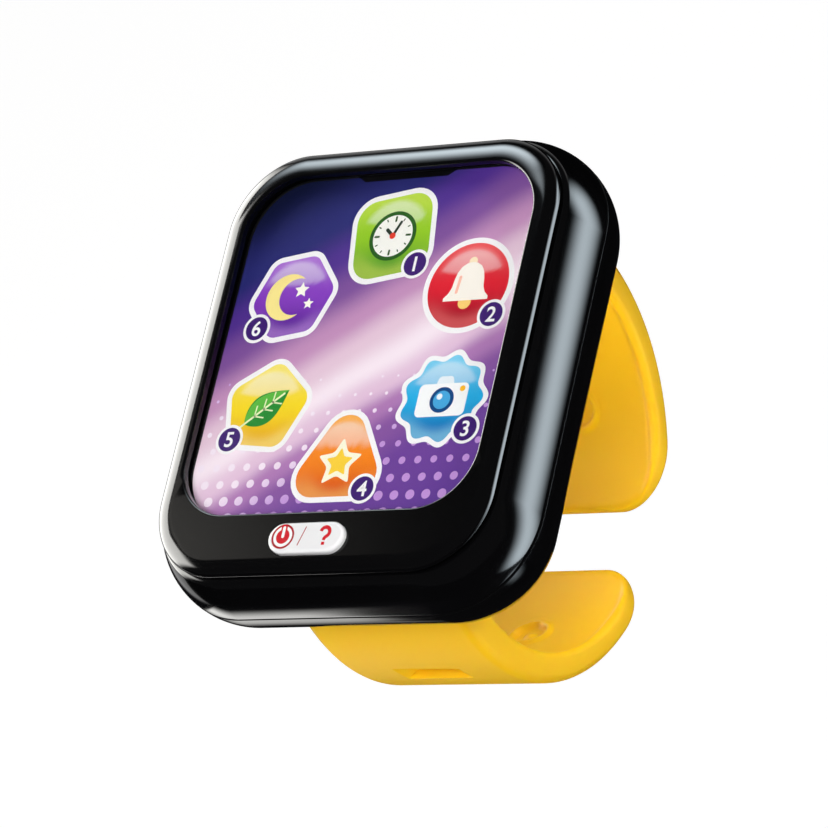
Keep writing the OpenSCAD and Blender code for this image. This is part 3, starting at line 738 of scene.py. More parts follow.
def neckRows(s):  # outer place, inner place and height, up from the root and over the pin
    (bigR, bigZ), (smallR, smallZ) = s["outer"], s["inner"]
    (pinY, pinZ), root, knuckle = s["pin"], s["root"], s["knuckle"]
    outY = math.sqrt(bigR ** 2 - (root - bigZ) ** 2)
    inY = math.sqrt(smallR ** 2 - (root - smallZ) ** 2)
    rows = []
    for k in range(1, s["neckSteps"] + 1):
        t = k / s["neckSteps"]
        ends = outY + (pinY + knuckle - outY) * t, inY + (pinY - knuckle - inY) * t
        rows.append((*ends, root + (pinZ - root) * t))
    return rows + [(pinY + y, pinY - y, z) for y, z in arc(0, pinZ, knuckle, *s["knuckleTurn"])]


def outerRelief(s, x, angle, d, near):  # round edges and the thumb slot
    deep = quarter(s["outerEdge"] + (s["tipEdge"] - s["outerEdge"]) * near, d)
    lo, hi = s["slotAngle"]
    if lo - s["slotSlack"] < angle < hi + s["slotSlack"]:
        flat, mouth = s["slotWide"]
        deep += s["slotDeep"] * min(1, max(0, (mouth - abs(x)) / (mouth - flat)))
    return -deep


def innerRelief(s, x, angle, planY, d):  # channel between the rims, ring, dimple and nub
    r, middle = s["inner"]
    rim = s["rimWide"]
    side = insideTip(x, planY, s["halfWide"] - rim, s["tip"] + s["tipRim"], s["tipCorner"] - rim)
    height = middle - r * math.cos(math.radians(angle))
    sunk = s["channel"] * smooth(*s["channelSide"], side) * (1 - smooth(*s["channelTop"], height))
    away = math.hypot(x, math.radians(angle - s["ringAngle"]) * (r + s["channel"]))
    crest = smooth(*s["ringOut"], away) * s["ringRise"]
    crest -= smooth(*s["ringIn"], away) * (s["ringRise"] + s["dimple"])
    crest += smooth(*s["nub"], away) * s["dimple"]
    return sunk - crest + quarter(s["rimEdge"], d)


def leaning(angle, r, more):  # sine and cosine that keep the place along the arm at another radius
    up = math.sin(math.radians(angle)) * r / (r + more)
    return up, math.copysign(math.sqrt(1 - up * up), 90 - angle)


def makeArm(name, side):
    s = dict(armSet, tip=armSet["tip"][name])
    bm = bmesh.new()
    cols = armColumns(s)
    outside, inside = [], []

    def vert(x, y, z):
        return bm.verts.new((x * mm, side * y * mm, z * mm))

    def bent(curve, x, angle, relief, near):
        r = curve[0] + relief
        up, across = leaning(angle, curve[0], relief * near)
        return vert(x, r * up, curve[1] - r * across)

    for outA, inA, planY, wide in armRows(s):
        near = 1 - smooth(s["tip"] + s["tipFade"], s["tip"] + s["tipCorner"], planY)
        outRow, inRow = [], []
        for f in cols:
            x = wide * f
            d = insideTip(x, planY, s["halfWide"], s["tip"], s["tipCorner"])
            outRow.append(bent(s["outer"], x, outA, outerRelief(s, x, outA, d, near), near))
            inRow.append(bent(s["inner"], x, inA, innerRelief(s, x, inA, planY, d), near))
        outside.append(outRow)
        inside.append(inRow)
    xs = [s["halfWide"] * f for f in cols]
    for outY, inY, z in neckRows(s):
        cut = min(1, (outY - inY) / (s["outerEdge"] + s["neckSlack"] / 2))
        draws = [cut * quarter(s["outerEdge"], s["halfWide"] - abs(x)) for x in xs]
        outside.append([vert(x, outY - d, z) for x, d in zip(xs, draws)])
        inside.append([vert(x, inY + d, z) for x, d in zip(xs, draws)])
    for rows in (outside, inside):
        for a, b in zip(rows, rows[1:]):
            for i in range(len(cols) - 1):
                bm.faces.new((a[i], a[i + 1], b[i + 1], b[i]))
    for o1, o2, i1, i2 in zip(outside, outside[1:], inside, inside[1:]):
        for k in (0, -1):
            bm.faces.new((o1[k], o2[k], i2[k], i1[k]))
    for k in range(len(cols) - 1):
        bm.faces.new((outside[0][k], outside[0][k + 1], inside[0][k + 1], inside[0][k]))
    return makePiece(name, bm, mats["strapYellow"], s["sharp"])


for name, side, body, node in (("upperArm", 1, "upper_strap", "upper_arm"),
                               ("lowerArm", -1, "lower_strap", "lower_arm")):
    arm = makeArm(name, side)
    fit(arm, body, node)
    print("arm", name, len(arm.data.polygons), "faces")


# dial: printed card, ink, dots and clear pane

dialSet = {
    "centre": 2.25,
    "cardHalf": (14.0, 15.85),
    "cardR": 8.75,
    "printHalf": (13.95, 15.9),
    "printR": 8.35,
    "low": 13.7,
    "top": 14.0,
    "slope": 31.0,  # degrees, of the bright band
    "offset": -4.0,  # mm, of the band below the centre
    "warp": 3.0,
    "cloud": 45,
    "rough": 0.45,
    "stops": (  # mm across the band, with its colour
        (-32, srgb(78, 48, 140)), (-14.5, srgb(110, 66, 155)), (-9.5, srgb(136, 86, 163)),
        (-6.5, srgb(178, 124, 186)), (-3.5, srgb(232, 200, 226)), (0, srgb(253, 238, 249)),
        (4, srgb(234, 204, 224)), (8, srgb(200, 148, 194)), (13, srgb(128, 82, 158)),
        (18, srgb(82, 50, 146)), (23, srgb(42, 44, 114)), (32, srgb(14, 20, 52))),
}


def bandDistance(n, l, s):
    parts = splitCoords(n, l)
    a = math.radians(s["slope"])
    above = mathNode(n, l, "SUBTRACT", parts["Y"], (s["centre"] + s["offset"]) * mm)
    up = mathNode(n, l, "MULTIPLY", above, math.cos(a))
    return mathNode(n, l, "SUBTRACT", up, mathNode(n, l, "MULTIPLY", parts["X"], math.sin(a)))


def printShader(n, l, tint, rough=0.4, shine=0.03):
    shader = n["Principled BSDF"]
    l.new(tint, shader.inputs["Base Color"])
    shader.inputs["Roughness"].default_value = rough
    shader.inputs["Specular IOR Level"].default_value = shine


def printMaterial(s):
    mat, n, l = nodeMaterial("dialGlow")
    sway = mathNode(n, l, "SUBTRACT", noiseNode(n, l, s["cloud"]), 0.5)
    sway = mathNode(n, l, "MULTIPLY", sway, s["warp"] * mm)
    t = mathNode(n, l, "ADD", bandDistance(n, l, s), sway)
    far = s["stops"][-1][0] * mm
    ramp = n.new("ShaderNodeValToRGB")
    ramp.color_ramp.interpolation = "EASE"
    spots = ramp.color_ramp.elements
    places = [0.5 + at * mm / (2 * far) for at, tint in s["stops"]]
    for place in places[1:-1]:
        spots.new(place)
    for spot, place, (at, tint) in zip(spots, places, s["stops"]):
        spot.position = place
        spot.color = tint
    l.new(fadeNode(n, l, t, -far, far, kind="LINEAR"), ramp.inputs["Fac"])
    printShader(n, l, ramp.outputs["Color"], s["rough"])
    return mat


def makeCard(s):
    bm = bmesh.new()
    centre = (0, s["centre"])
    low = addLoop(bm, roundLoop(s["cardHalf"], s["cardR"], centre), s["low"])
    edge = addLoop(bm, roundLoop(s["cardHalf"], s["cardR"], centre), s["top"])
    face = addLoop(bm, roundLoop(s["printHalf"], s["printR"], centre), s["top"])
    bm.faces.new(low)
    skin(bm, [low, edge, face])
    bm.faces.new(face).material_index = 1
    obj = makePiece("dialCard", bm, mats["wellBlack"])
    obj.data.materials.append(printMaterial(s))
    fit(obj, "case", "dial_card")


makeCard(dialSet)

paneSet = {
    "half": (14.0, 15.85), "r": 8.8, "low": 14.3, "top": 15.5, "edge": 0.12,
    "sharp": 30, "rough": 0.04, "ior": 1.45,
}


def paneMaterial(s):
    mat, n, l = openMaterial("lensClear")
    clear = n.new("ShaderNodeBsdfTransparent")
    gloss = n.new("ShaderNodeBsdfGlossy")
    gloss.inputs["Roughness"].default_value = s["rough"]
    tilt = n.new("ShaderNodeFresnel")
    tilt.inputs["IOR"].default_value = s["ior"]
    side = n.new("ShaderNodeNewGeometry")
    front = mathNode(n, l, "SUBTRACT", 1, side.outputs["Backfacing"])
    mixToSurface(n, l, mathNode(n, l, "MULTIPLY", tilt.outputs[0], front), clear, gloss)
    return mat


def makePane(s):
    bm = bmesh.new()
    profile = [(s["r"], s["low"]), (s["r"], s["top"] - s["edge"]), (s["r"] - s["edge"], s["top"])]
    loops = [addLoop(bm, roundLoop(s["half"], r, (0, dialSet["centre"])), z) for r, z in profile]
    skin(bm, loops)
    bm.faces.new(loops[0])
    bm.faces.new(loops[-1])
    fit(makePiece("lensPane", bm, paneMaterial(s), s["sharp"]), "case", "screen_lens")


makePane(paneSet)


# flat ink

def inkMaterial(name, rough=0.4, shine=0.03, grain=400, vary=0.03):
    mat, n, l = nodeMaterial(name)
    tone = n.new("ShaderNodeVertexColor")
    tone.layer_name = "ink"
    soft = n.new("ShaderNodeHueSaturation")
    l.new(fadeNode(n, l, noiseNode(n, l, grain), 0, 1, 1 - vary, 1 + vary), soft.inputs["Value"])
    l.new(tone.outputs["Color"], soft.inputs["Color"])
    printShader(n, l, soft.outputs["Color"], rough, shine)
    return mat


def inkSheet():
    bm = bmesh.new()
    return bm, bm.verts.layers.float_color.new("ink")


def inkVert(sheet, x, y, z, tint):
    bm, layer = sheet
    v = bm.verts.new((x * mm, y * mm, z * mm))
    v[layer] = tint
    return v


def inkFill(sheet, loop, z, tint):
    sheet[0].faces.new([inkVert(sheet, x, y, z, tint) for x, y in loop])


def inkFan(sheet, loop, centre, z, rings, tintAt):  # rings round the centre, for a tint that changes
    cx, cy = centre
    core = inkVert(sheet, cx, cy, z, tintAt(0, 0))
    last = None
    for k in range(1, rings + 1):
        f = k / rings
        steps = [((x - cx) * f, (y - cy) * f) for x, y in loop]
        ring = [inkVert(sheet, cx + u, cy + w, z, tintAt(u, w)) for u, w in steps]
        for i in range(len(ring)):
            j = (i + 1) % len(ring)
            sheet[0].faces.new((last[i], ring[i], ring[j], last[j]) if last else (core, ring[i], ring[j]))
        last = ring


def inkRibbon(sheet, path, wide, z, tint):
    rows = []
    for k, (x, y) in enumerate(path):
        (ax, ay), (bx, by) = path[max(0, k - 1)], path[min(len(path) - 1, k + 1)]
        run = math.hypot(bx - ax, by - ay)
        ux, uy = -(by - ay) / run * wide / 2, (bx - ax) / run * wide / 2
        rows.append([inkVert(sheet, x + f * ux, y + f * uy, z, tint) for f in (-1, 1)])
    for (a, b), (c, d) in zip(rows, rows[1:]):
        sheet[0].faces.new((a, b, d, c))


def inkText(sheet, text, size, fat, centre, z, tint, fine=6):
    curve = bpy.data.curves.new("letter", "FONT")
    curve.body = text
    curve.size = size
    curve.offset = fat
    curve.resolution_u = fine
    holder = bpy.data.objects.new("letter", curve)
    scene.collection.objects.link(holder)
    graph = bpy.context.evaluated_depsgraph_get()
    mesh = bpy.data.meshes.new_from_object(holder.evaluated_get(graph))
    xs = [v.co.x for v in mesh.vertices]
    ys = [v.co.y for v in mesh.vertices]
    dx, dy = centre[0] - (min(xs) + max(xs)) / 2, centre[1] - (min(ys) + max(ys)) / 2
    verts = [inkVert(sheet, v.co.x + dx, v.co.y + dy, z, tint) for v in mesh.vertices]
    for p in mesh.polygons:
        sheet[0].faces.new([verts[i] for i in p.vertices])
    bpy.data.objects.remove(holder)
    bpy.data.curves.remove(curve)
    bpy.data.meshes.remove(mesh)


def makeFlat(name, bm, mat):
    bm.normal_update()
    bmesh.ops.reverse_faces(bm, faces=[f for f in bm.faces if f.normal.z < 0])
    mesh = bpy.data.meshes.new(name)
    bm.to_mesh(mesh)
    bm.free()
    mesh.materials.append(mat)
    obj = bpy.data.objects.new(name, mesh)
    scene.collection.objects.link(obj)
    return obj


# outlines for the ink

def turned(centre, x, y, turn):
    c, s = math.cos(math.radians(turn)), math.sin(math.radians(turn))
    return (centre[0] + x * c - y * s, centre[1] + x * s + y * c)


def hullLoop(core, r, centre=(0, 0), turn=0, steps=9, straight=5):  # corner points rounded by r
    n = len(core)
    pts = []
    for i in range(n):
        (ax, ay), (bx, by), (cx, cy) = core[i - 1], core[i], core[(i + 1) % n]
        a0 = math.atan2(by - ay, bx - ax) - math.pi / 2
        a1 = math.atan2(cy - by, cx - bx) - math.pi / 2
        while a1 < a0:
            a1 += 2 * math.pi
        pts += [around((bx, by), r, a0 + (a1 - a0) * k / steps) for k in range(steps + 1)]
        for k in range(1, straight):
            f = k / straight
            pts.append(around((bx + (cx - bx) * f, by + (cy - by) * f), r, a1))
    return [turned(centre, x, y, turn) for x, y in pts]


def discLoop(centre, r, steps=40):
    return arc(*centre, r, 0, 360, steps)[:-1]


def lobeLoop(centre, r, wave, lobes, steps=144):
    turns = [2 * math.pi * k / steps for k in range(steps)]
    return [around(centre, r + wave * math.cos(lobes * a), a) for a in turns]


def ringCore(n, r, start=90):
    return arc(0, 0, r, start, start + 360, n)[:-1]


def starLoop(centre, r, inner, points=5, soft=0.22, steps=4):  # with softened corners
    turns = [math.radians(90 + 180 * k / points) for k in range(2 * points)]
    loop = [around(centre, inner if k % 2 else r, a) for k, a in enumerate(turns)]
    pts = []
    for i, (bx, by) in enumerate(loop):
        (ax, ay), (cx, cy) = loop[i - 1], loop[(i + 1) % len(loop)]
        for k in range(steps + 1):
            f = k / steps
            px, py = bx + (ax - bx) * soft * (1 - f), by + (ay - by) * soft * (1 - f)
            qx, qy = bx + (cx - bx) * soft * f, by + (cy - by) * soft * f
            pts.append((px + (qx - px) * f, py + (qy - py) * f))
    return pts


def strokeLoop(a, b, wide, steps=8):
    way = math.degrees(math.atan2(b[1] - a[1], b[0] - a[0]))
    return arc(*b, wide / 2, way - 90, way + 90, steps) + arc(*a, wide / 2, way + 90, way + 270, steps)


def blendTint(a, b, f):
    return tuple(p + (q - p) * f for p, q in zip(a, b))


# badges on the dial

inkSet = {
    "level": 14.02,
    "step": 0.014,  # between layers of ink
    "outline": 0.75,
    "rings": 16,
    "white": srgb(252, 252, 254),
    "chip": srgb(62, 30, 112),
    "chipAt": (4.5, -4.3),
    "chipR": (2.05, 1.65),
    "motifLayer": 3,
    "chipLayer": 8,
    "digit": 2.9,
    "digitFat": 0.05,
    "tab": ((-7.7, 24.45), (-6.3, 23.55), (6.3, 23.55), (7.7, 24.45)),
    "tabBlack": srgb(8, 8, 10),
}

badgeForms = {
    "square": {"sides": 4, "reach": 2.7 * math.sqrt(2), "round": 2.9, "start": 45, "turn": 8},
    "drop": {"sides": 3, "reach": 3.6, "round": 2.9, "sink": 0.5},
    "five": {"sides": 5, "reach": 4.2, "round": 1.9, "turn": -6},
    "six": {"sides": 6, "reach": 4.3, "round": 1.7, "start": 60, "turn": 8},
    "disc": {"round": 5.9, "steps": 72},
    "lobes": {"round": 5.6, "wave": 0.42, "lobes": 9},
}

badges = (
    {"at": (0, 15.4), "form": "square", "motif": "clock",
     "light": srgb(222, 240, 96), "base": srgb(150, 206, 36), "deep": srgb(52, 140, 40)},
    {"at": (13.3, 7.6), "form": "disc", "motif": "bell",
     "light": srgb(255, 120, 120), "base": srgb(226, 28, 48), "deep": srgb(150, 4, 34)},
    {"at": (13.3, -8.0), "form": "lobes", "motif": "camera",
     "light": srgb(160, 236, 255), "base": srgb(36, 176, 232), "deep": srgb(8, 96, 176)},
    {"at": (0, -15.6), "form": "drop", "motif": "star",
     "light": srgb(255, 206, 110), "base": srgb(250, 136, 22), "deep": srgb(214, 70, 10)},
    {"at": (-13.3, -8.0), "form": "five", "motif": "leaf",
     "light": srgb(255, 248, 150), "base": srgb(252, 222, 30), "deep": srgb(236, 168, 6)},
    {"at": (-13.3, 7.6), "form": "six", "motif": "moon",
     "light": srgb(206, 150, 240), "base": srgb(136, 62, 196), "deep": srgb(78, 24, 142)},
)

shadeSet = {  # mm from the badge's middle, or shares of its height
    "half": 6,
    "body": (0.02, 0.55),
    "upper": (0.5, 1.0),
    "upperShare": 0.55,
    "footRing": (3.2, 5.4),
    "foot": (-1.0, -5.0),
    "footShare": 0.45,
    "cap": (1.3, 1.9),
    "capBow": 0.03,
    "capRing": (5.4, 4.6),
    "capShare": (0.18, 0.05),  # and what each mm up adds
}


def badgeLoop(form, centre, grow):
    s = badgeForms[form]
    r = s["round"] + grow
    if "wave" in s:
        return lobeLoop(centre, r, s["wave"], s["lobes"])
    if "steps" in s:
        return discLoop(centre, r, s["steps"])
    core = ringCore(s["sides"], s["reach"], s.get("start", 90))
    return hullLoop(core, r, (centre[0], centre[1] - s.get("sink", 0)), s.get("turn", 0))


def badgeTint(badge):
    s = shadeSet

    def at(x, y):
        t = (y / s["half"] + 1) / 2
        reach = math.hypot(x, y)
        tint = blendTint(badge["deep"], badge["base"], smooth(*s["body"], t))
        tint = blendTint(tint, badge["light"], s["upperShare"] * smooth(*s["upper"], t))
        glow = smooth(*s["footRing"], reach) * smooth(*s["foot"], y)
        tint = blendTint(tint, badge["light"], s["footShare"] * glow)
        cap = smooth(*s["cap"], y - s["capBow"] * x * x) * smooth(*s["capRing"], reach)
        return blendTint(tint, inkSet["white"], cap * (s["capShare"][0] + s["capShare"][1] * y))

    return at


signSet = {  # mm from the badge's middle
    "ticks": 12,
    "longTick": (2.1, 0.3),  # start and width
    "shortTick": (2.4, 0.18),
    "tickEnd": 2.65,
    "bellSide": ((0, 3.25), (0.75, 3.1), (1.45, 2.65), (1.95, 1.85), (2.2, 0.85), (2.35, -0.25),
                 (2.7, -1.05), (3.3, -1.65), (3.3, -2.1), (0, -2.1)),
    "hump": ((-0.8, -0.3), (0.8, -0.3), (0.6, 0.4), (-0.6, 0.4)),
    "body": ((-2.9, -1.6), (2.9, -1.6), (2.9, 1.4), (-2.9, 1.4)),
    "leafTurn": 38,
    "leafStart": -3.6,
    "leafLong": 7.4,
    "leafHalf": 2.15,
    "leafSwell": 0.8,
    "leafSteps": 20,
    "stalk": (-4.3, 3.0, 0.3),  # ends and width
    "veins": (-1.9, -0.4, 1.1),
    "veinRun": (0.95, 1.05, 0.2),  # along, across and width
}


def clockTicks(s):  # long ones at the quarters
    loops = []
    for k in range(s["ticks"]):
        start, wide = s["shortTick"] if 4 * k % s["ticks"] else s["longTick"]
        a = 2 * math.pi * k / s["ticks"]
        loops.append(strokeLoop(around((0, 0), start, a), around((0, 0), s["tickEnd"], a), wide))
    return loops


def mirrored(side):
    return list(side) + [(-x, y) for x, y in side[-2:0:-1]]


def onLeaf(s, along, across):
    return turned((0, 0), along, across, s["leafTurn"])


def leafPart(s, low, high):  # between two shares of the leaf's half width
    shares = [k / s["leafSteps"] for k in range(s["leafSteps"] + 1)]
    side = [(s["leafStart"] + s["leafLong"] * f, s["leafHalf"] * math.sin(math.pi * f ** s["leafSwell"]))
            for f in shares]
    loop = [(u, low * w) for u, w in side] + [(u, high * w) for u, w in side[-2:0:-1]]
    return [onLeaf(s, u, w) for u, w in loop]


def leafVeins(s):
    start, end, wide = s["stalk"]
    along, across, thin = s["veinRun"]
    loops = [strokeLoop(onLeaf(s, start, 0), onLeaf(s, end, 0), wide)]
    for u in s["veins"]:
        for side in (-1, 1):
            loops.append(strokeLoop(onLeaf(s, u, 0), onLeaf(s, u + along, side * across), thin))
    return loops


motifs = {  # layer, ink and outline of each part
    "clock": [
        (0, srgb(40, 92, 30), discLoop((0, 0), 3.5)),
        (1, srgb(252, 252, 246), discLoop((0, 0), 2.95)),
        *[(2, srgb(60, 90, 50), tick) for tick in clockTicks(signSet)],
        (2, srgb(38, 52, 40), strokeLoop((0, 0), (-1.0, 0.9), 0.48)),
        (3, srgb(38, 52, 40), strokeLoop((0, 0), (0.9, 1.9), 0.4)),
        (4, srgb(226, 60, 40), discLoop((0, 0), 0.45)),
    ],
    "bell": [
        (0, srgb(255, 236, 200), discLoop((0, 3.35), 0.62)),
        (0, srgb(255, 214, 120), discLoop((0, -2.35), 0.95)),
        (1, srgb(255, 250, 240), mirrored(signSet["bellSide"])),
        (2, srgb(255, 196, 176), strokeLoop((-1.35, 1.2), (-1.55, -0.9), 0.42)),
    ],
    "camera": [
        (0, srgb(236, 246, 252), hullLoop(signSet["hump"], 0.55, (0, 2.1))),
        (1, srgb(252, 254, 255), hullLoop(signSet["body"], 0.75, (0, -0.1))),
        (2, srgb(20, 70, 130), discLoop((0, -0.2), 1.75)),
        (3, srgb(70, 170, 226), discLoop((0, -0.2), 1.25)),
        (4, srgb(240, 250, 255), discLoop((-0.4, 0.25), 0.42, 24)),
        (2, srgb(255, 190, 40), discLoop((2.75, 1.25), 0.4, 24)),
    ],
    "star": [
        (0, srgb(255, 252, 226), starLoop((0, -0.6), 3.5, 1.75)),
        (1, srgb(255, 214, 60), starLoop((0, -0.6), 2.1, 1.05)),
    ],
    "leaf": [
        (0, srgb(36, 140, 50), leafPart(signSet, -1, 1)),
        (1, srgb(92, 188, 66), leafPart(signSet, 0, 0.9)),
        *[(2, srgb(236, 250, 196), vein) for vein in leafVeins(signSet)],
    ],
    "moon": [
        (0, srgb(255, 238, 150), arc(-0.9, 0, 3.3, 48.8, 311.2, 40) + arc(0.5, 0, 2.6, 287.3, 72.7, 40)),
        (0, srgb(255, 255, 240), starLoop((1.1, 0.9), 1.2, 0.54)),
        (0, srgb(255, 255, 240), starLoop((2.6, -1.1), 0.85, 0.38)),
    ],
}


def makeInk(s):
    sheet = inkSheet()
    z, step, middle = s["level"], s["step"], dialSet["centre"]
    inkFill(sheet, [(x, y + middle) for x, y in s["tab"]], z, s["tabBlack"])
    for k, b in enumerate(badges):
        c = (b["at"][0], b["at"][1] + middle)
        inkFill(sheet, badgeLoop(b["form"], c, s["outline"]), z + step, s["white"])
        inkFan(sheet, badgeLoop(b["form"], c, 0), c, z + 2 * step, s["rings"], badgeTint(b))
        for layer, tint, loop in motifs[b["motif"]]:
            placed = [(c[0] + x, c[1] + y) for x, y in loop]
            inkFill(sheet, placed, z + (s["motifLayer"] + layer) * step, tint)
        side = -1 if c[0] < 0 else 1
        spot = (c[0] + side * s["chipAt"][0], c[1] + s["chipAt"][1])
        chipZ = z + s["chipLayer"] * step
        inkFill(sheet, discLoop(spot, s["chipR"][0]), chipZ, s["white"])
        inkFill(sheet, discLoop(spot, s["chipR"][1]), chipZ + step, s["chip"])
        inkText(sheet, str(k + 1), s["digit"], s["digitFat"], spot, chipZ + 2 * step, s["white"])
    fit(makeFlat("dialInk", sheet[0], inkMaterial("dialInk")), "case")


makeInk(inkSet)

# halftone dots on the dial
dotSet = {
    "pitch": 2.35,
    "grid": (21, 13),
    "radius": 0.74,
    "low": -24.0,  # mm from the dial's centre, where dots are largest
    "high": 1.0,  # and where they vanish
    "least": 0.1,
    "level": 14.012,
    "seed": 7,
    "vary": 0.04,
    "sides": 24,
    "dark": srgb(196, 150, 220),
    "light": srgb(250, 236, 250),
    "band": (4, 12),  # mm from the bright band
}


def dotTree(s):
    tree = bpy.data.node_groups.new("halftone", "GeometryNodeTree")
    face = tree.interface
    face.new_socket("Geometry", in_out="INPUT", socket_type="NodeSocketGeometry")
    for name in ("Pitch", "Radius", "Low", "High", "Least", "Middle", "Level"):
        face.new_socket(name, in_out="INPUT", socket_type="NodeSocketFloat")
    face.new_socket("Seed", in_out="INPUT", socket_type="NodeSocketInt")
    face.new_socket("Ink", in_out="INPUT", socket_type="NodeSocketMaterial")
    face.new_socket("Geometry", in_out="OUTPUT", socket_type="NodeSocketGeometry")
    n, l = tree.nodes, tree.links
    given = n.new("NodeGroupInput").outputs
    result = n.new("NodeGroupOutput")

    def calc(kind, a, b=None, clamp=False):
        return mathNode(n, l, kind, a, b, clamp)

    def position():
        here = n.new("GeometryNodeInputPosition")
        parts = n.new("ShaderNodeSeparateXYZ")
        l.new(here.outputs[0], parts.inputs[0])
        return parts.outputs

    # a grid whose odd rows are shifted by half a pitch
    across, down = s["grid"]
    grid = n.new("GeometryNodeMeshGrid")
    grid.inputs["Vertices X"].default_value = across
    grid.inputs["Vertices Y"].default_value = down
    l.new(calc("MULTIPLY", given["Pitch"], across - 1), grid.inputs["Size X"])
    l.new(calc("MULTIPLY", given["Pitch"], down - 1), grid.inputs["Size Y"])
    odd = calc("FLOORED_MODULO", calc("ROUND", calc("DIVIDE", position()["Y"], given["Pitch"])), 2)
    half = calc("MULTIPLY", calc("ADD", given["Low"], given["High"]), 0.5)
    shift = n.new("ShaderNodeCombineXYZ")
    l.new(calc("MULTIPLY", calc("MULTIPLY", odd, 0.5), given["Pitch"]), shift.inputs["X"])
    l.new(calc("ADD", given["Middle"], half), shift.inputs["Y"])
    l.new(given["Level"], shift.inputs["Z"])
    move = n.new("GeometryNodeSetPosition")
    l.new(grid.outputs["Mesh"], move.inputs["Geometry"])
    l.new(shift.outputs[0], move.inputs["Offset"])

    # dots shrink upwards, and none is tiny or past the print's edge
    spot = position()
    high = calc("SUBTRACT", spot["Y"], given["Middle"])
    span = calc("SUBTRACT", given["High"], given["Low"])
    share = calc("DIVIDE", calc("SUBTRACT", given["High"], high), span, True)
    jitter = n.new("FunctionNodeRandomValue")
    jitter.data_type = "FLOAT"
    jitter.inputs[2].default_value = 1 - s["vary"]
    jitter.inputs[3].default_value = 1 + s["vary"]
    l.new(given["Seed"], jitter.inputs["Seed"])
    size = calc("MULTIPLY", calc("MULTIPLY", given["Radius"], share), jitter.outputs[1])
    squares = []
    for place, edge in zip((spot["X"], high), dialSet["printHalf"]):
        past = calc("MAXIMUM", calc("SUBTRACT", calc("ABSOLUTE", place), edge * mm), 0.0)
        squares.append(calc("MULTIPLY", past, past))
    away = calc("SQRT", calc("ADD", *squares))
    outside = calc("GREATER_THAN", calc("ADD", away, size), dialSet["printR"] * mm)
    prune = n.new("GeometryNodeDeleteGeometry")
    l.new(move.outputs[0], prune.inputs["Geometry"])
    l.new(calc("MAXIMUM", outside, calc("LESS_THAN", size, given["Least"])), prune.inputs["Selection"])

    disc = n.new("GeometryNodeMeshCircle")
    disc.fill_type = "NGON"
    disc.inputs["Vertices"].default_value = s["sides"]
    disc.inputs["Radius"].default_value = 1
    place = n.new("GeometryNodeInstanceOnPoints")
    l.new(prune.outputs[0], place.inputs["Points"])
    l.new(disc.outputs["Mesh"], place.inputs["Instance"])
    l.new(size, place.inputs["Scale"])
    real = n.new("GeometryNodeRealizeInstances")
    l.new(place.outputs[0], real.inputs[0])
    ink = n.new("GeometryNodeSetMaterial")
    l.new(real.outputs[0], ink.inputs["Geometry"])
    l.new(given["Ink"], ink.inputs["Material"])
    l.new(ink.outputs[0], result.inputs[0])
    return tree


def dotMaterial(s):
    mat, n, l = nodeMaterial("dotInk")
    near, far = s["band"]
    away = mathNode(n, l, "ABSOLUTE", bandDistance(n, l, dialSet))
    share = fadeNode(n, l, away, near * mm, far * mm, 1, 0)
    printShader(n, l, mixTint(n, l, share, s["dark"], s["light"]))
    return mat


def applyTree(obj, tree, values):
    mod = obj.modifiers.new(tree.name, "NODES")
    mod.node_group = tree
    for item in tree.interface.items_tree:
        if item.in_out == "INPUT" and item.name in values:
            mod[item.identifier] = values[item.name]
    return bakeModifiers(obj)


def makeDots(s):
    obj = bpy.data.objects.new("dialDots", bpy.data.meshes.new("dialDots"))
    scene.collection.objects.link(obj)
    values = {key.capitalize(): s[key] * mm for key in ("pitch", "radius", "low", "high", "least", "level")}
    values.update({"Middle": dialSet["centre"] * mm, "Seed": s["seed"], "Ink": dotMaterial(s)})
    applyTree(obj, dotTree(s), values)
    fit(obj, "case")
    print("dots", len(obj.data.polygons))


makeDots(dotSet)
print("dial ready")


# button and its marks

buttonSet = {
    "cadMiddle": -25.6,
    "middle": -25.38,
    "squeeze": 0.9,  # of the cap's height on the face, measured in the photo
    "top": 17.3,
    "soften": 0.3,
    "lift": 0.012,
    "step": 0.008,
    "rough": 0.2,
    "shine": 0.5,
    "red": srgb(205, 16, 34),
    "deep": srgb(168, 18, 34),
    "white": srgb(250, 250, 251),
    "power": (-3.3, 0.05),
    "powerDiscs": ((1.66, 56, "deep"), (1.38, 56, "white"), (0.98, 48, "red")),  # radius, sides, ink
    "powerBars": ((0.1, 1.2, 0.9, "red"), (0, 1.16, 0.42, "white")),  # low end, high end, width, ink
    "stroke": ((-0.85, -1.2), (-0.05, 1.3)),
    "strokeWide": 0.14,
    "hookAt": (2.95, 0.48),
    "hookR": 0.66,
    "hookTurn": (168, -48, 20),  # degrees from and to, and steps
    "hookWide": 0.5,
    "hookTail": ((3.14, -0.17), (3.0, -0.36), (2.95, -0.62)),
    "dot": (2.95, -1.03),
    "dotHalf": (0.23, 0.21),
}


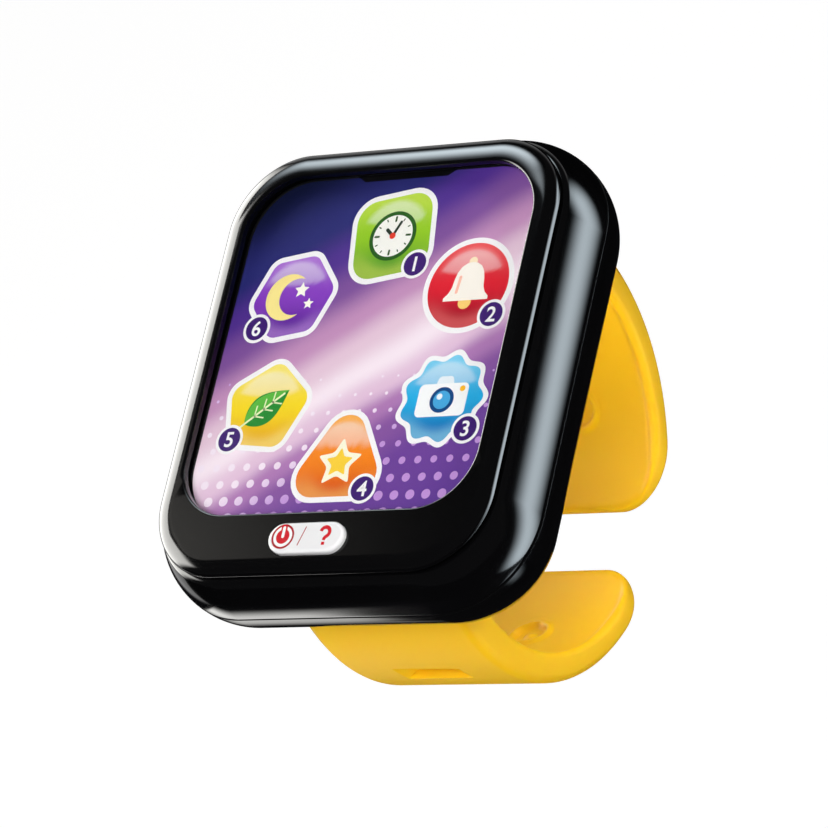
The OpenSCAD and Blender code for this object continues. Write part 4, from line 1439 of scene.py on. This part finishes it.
def makeMarks(s):
    sheet = inkSheet()
    y, z, step = s["middle"], s["top"] + s["lift"], s["step"]
    c = (s["power"][0], y + s["power"][1])
    layers = [(discLoop(c, r, sides), tint) for r, sides, tint in s["powerDiscs"]]
    for low, high, wide, tint in s["powerBars"]:
        layers.append((strokeLoop((c[0], c[1] + low), (c[0], c[1] + high), wide), tint))
    for k, (loop, tint) in enumerate(layers):
        inkFill(sheet, loop, z + k * step, s[tint])
    inkRibbon(sheet, [(px, y + py) for px, py in s["stroke"]], s["strokeWide"], z, s["deep"])
    hook = arc(s["hookAt"][0], y + s["hookAt"][1], s["hookR"], *s["hookTurn"])
    hook += [(px, y + py) for px, py in s["hookTail"]]
    inkRibbon(sheet, hook, s["hookWide"], z, s["red"])
    (dx, dy), (w, h) = s["dot"], s["dotHalf"]
    square = [(dx + i * w, y + dy + j * h) for i, j in ((-1, -1), (1, -1), (1, 1), (-1, 1))]
    inkFill(sheet, square, z, s["red"])
    ink = inkMaterial("markInk", s["rough"], s["shine"])
    fit(makeFlat("buttonMarks", sheet[0], ink), "button")


def squeezeCap(co):
    s = buttonSet
    return Vector((co.x, (s["middle"] + (co.y / mm - s["cadMiddle"]) * s["squeeze"]) * mm, co.z))


dressCopy("button_cap", "buttonWhite", buttonSet["soften"], squeezeCap)
makeMarks(buttonSet)
print("button marked")


# inner works and back

plainPieces = {  # finish, softened edge in mm and slot
    "battery_door": ("pianoBlack", 0.12, "case_black"),
    "door_screw": ("zincSteel", 0.08, "screw_steel"),
    "case_screws": ("zincSteel", 0.08, "screw_steel"),
    "upper_bar": ("zincSteel", 0.06, "screw_steel"),
    "lower_bar": ("zincSteel", 0.06, "screw_steel"),
    "cell_left": ("cellSteel", 0.1, "cell_steel"),
    "cell_middle": ("cellSteel", 0.1, "cell_steel"),
    "cell_right": ("cellSteel", 0.1, "cell_steel"),
    "contact_minus": ("contactBrass", 0, "contact_brass"),
    "contact_plus": ("contactBrass", 0, "contact_brass"),
    "contact_link": ("contactBrass", 0, "contact_brass"),
    "door_link": ("contactBrass", 0, "contact_brass"),
    "touch_film": ("filmAmber", 0, "film_amber"),
    "switch_plunger": ("buttonWhite", 0, "switch_grey"),
    "tact_switch": ("switchGrey", 0, "switch_grey"),
    "circuit_board": ("boardGreen", 0, "board_green"),
    "chip_blob": ("chipResin", 0, "chip_resin"),
    "lamps": ("lampResin", 0, "lamp_resin"),
    "speaker_frame": ("zincSteel", 0, "speaker_steel"),
    "speaker_magnet": ("zincSteel", 0, "speaker_steel"),
    "speaker_cone": ("coneFilm", 0, "cone_film"),
    "speaker_gasket": ("gasketFoam", 0, "gasket_foam"),
    "speaker_leads": ("leadRed", 0, "lead_red"),
}
for node, (mat, bevel, slot) in plainPieces.items():
    dressCopy(node, mat, bevel)
print("inner works dressed")
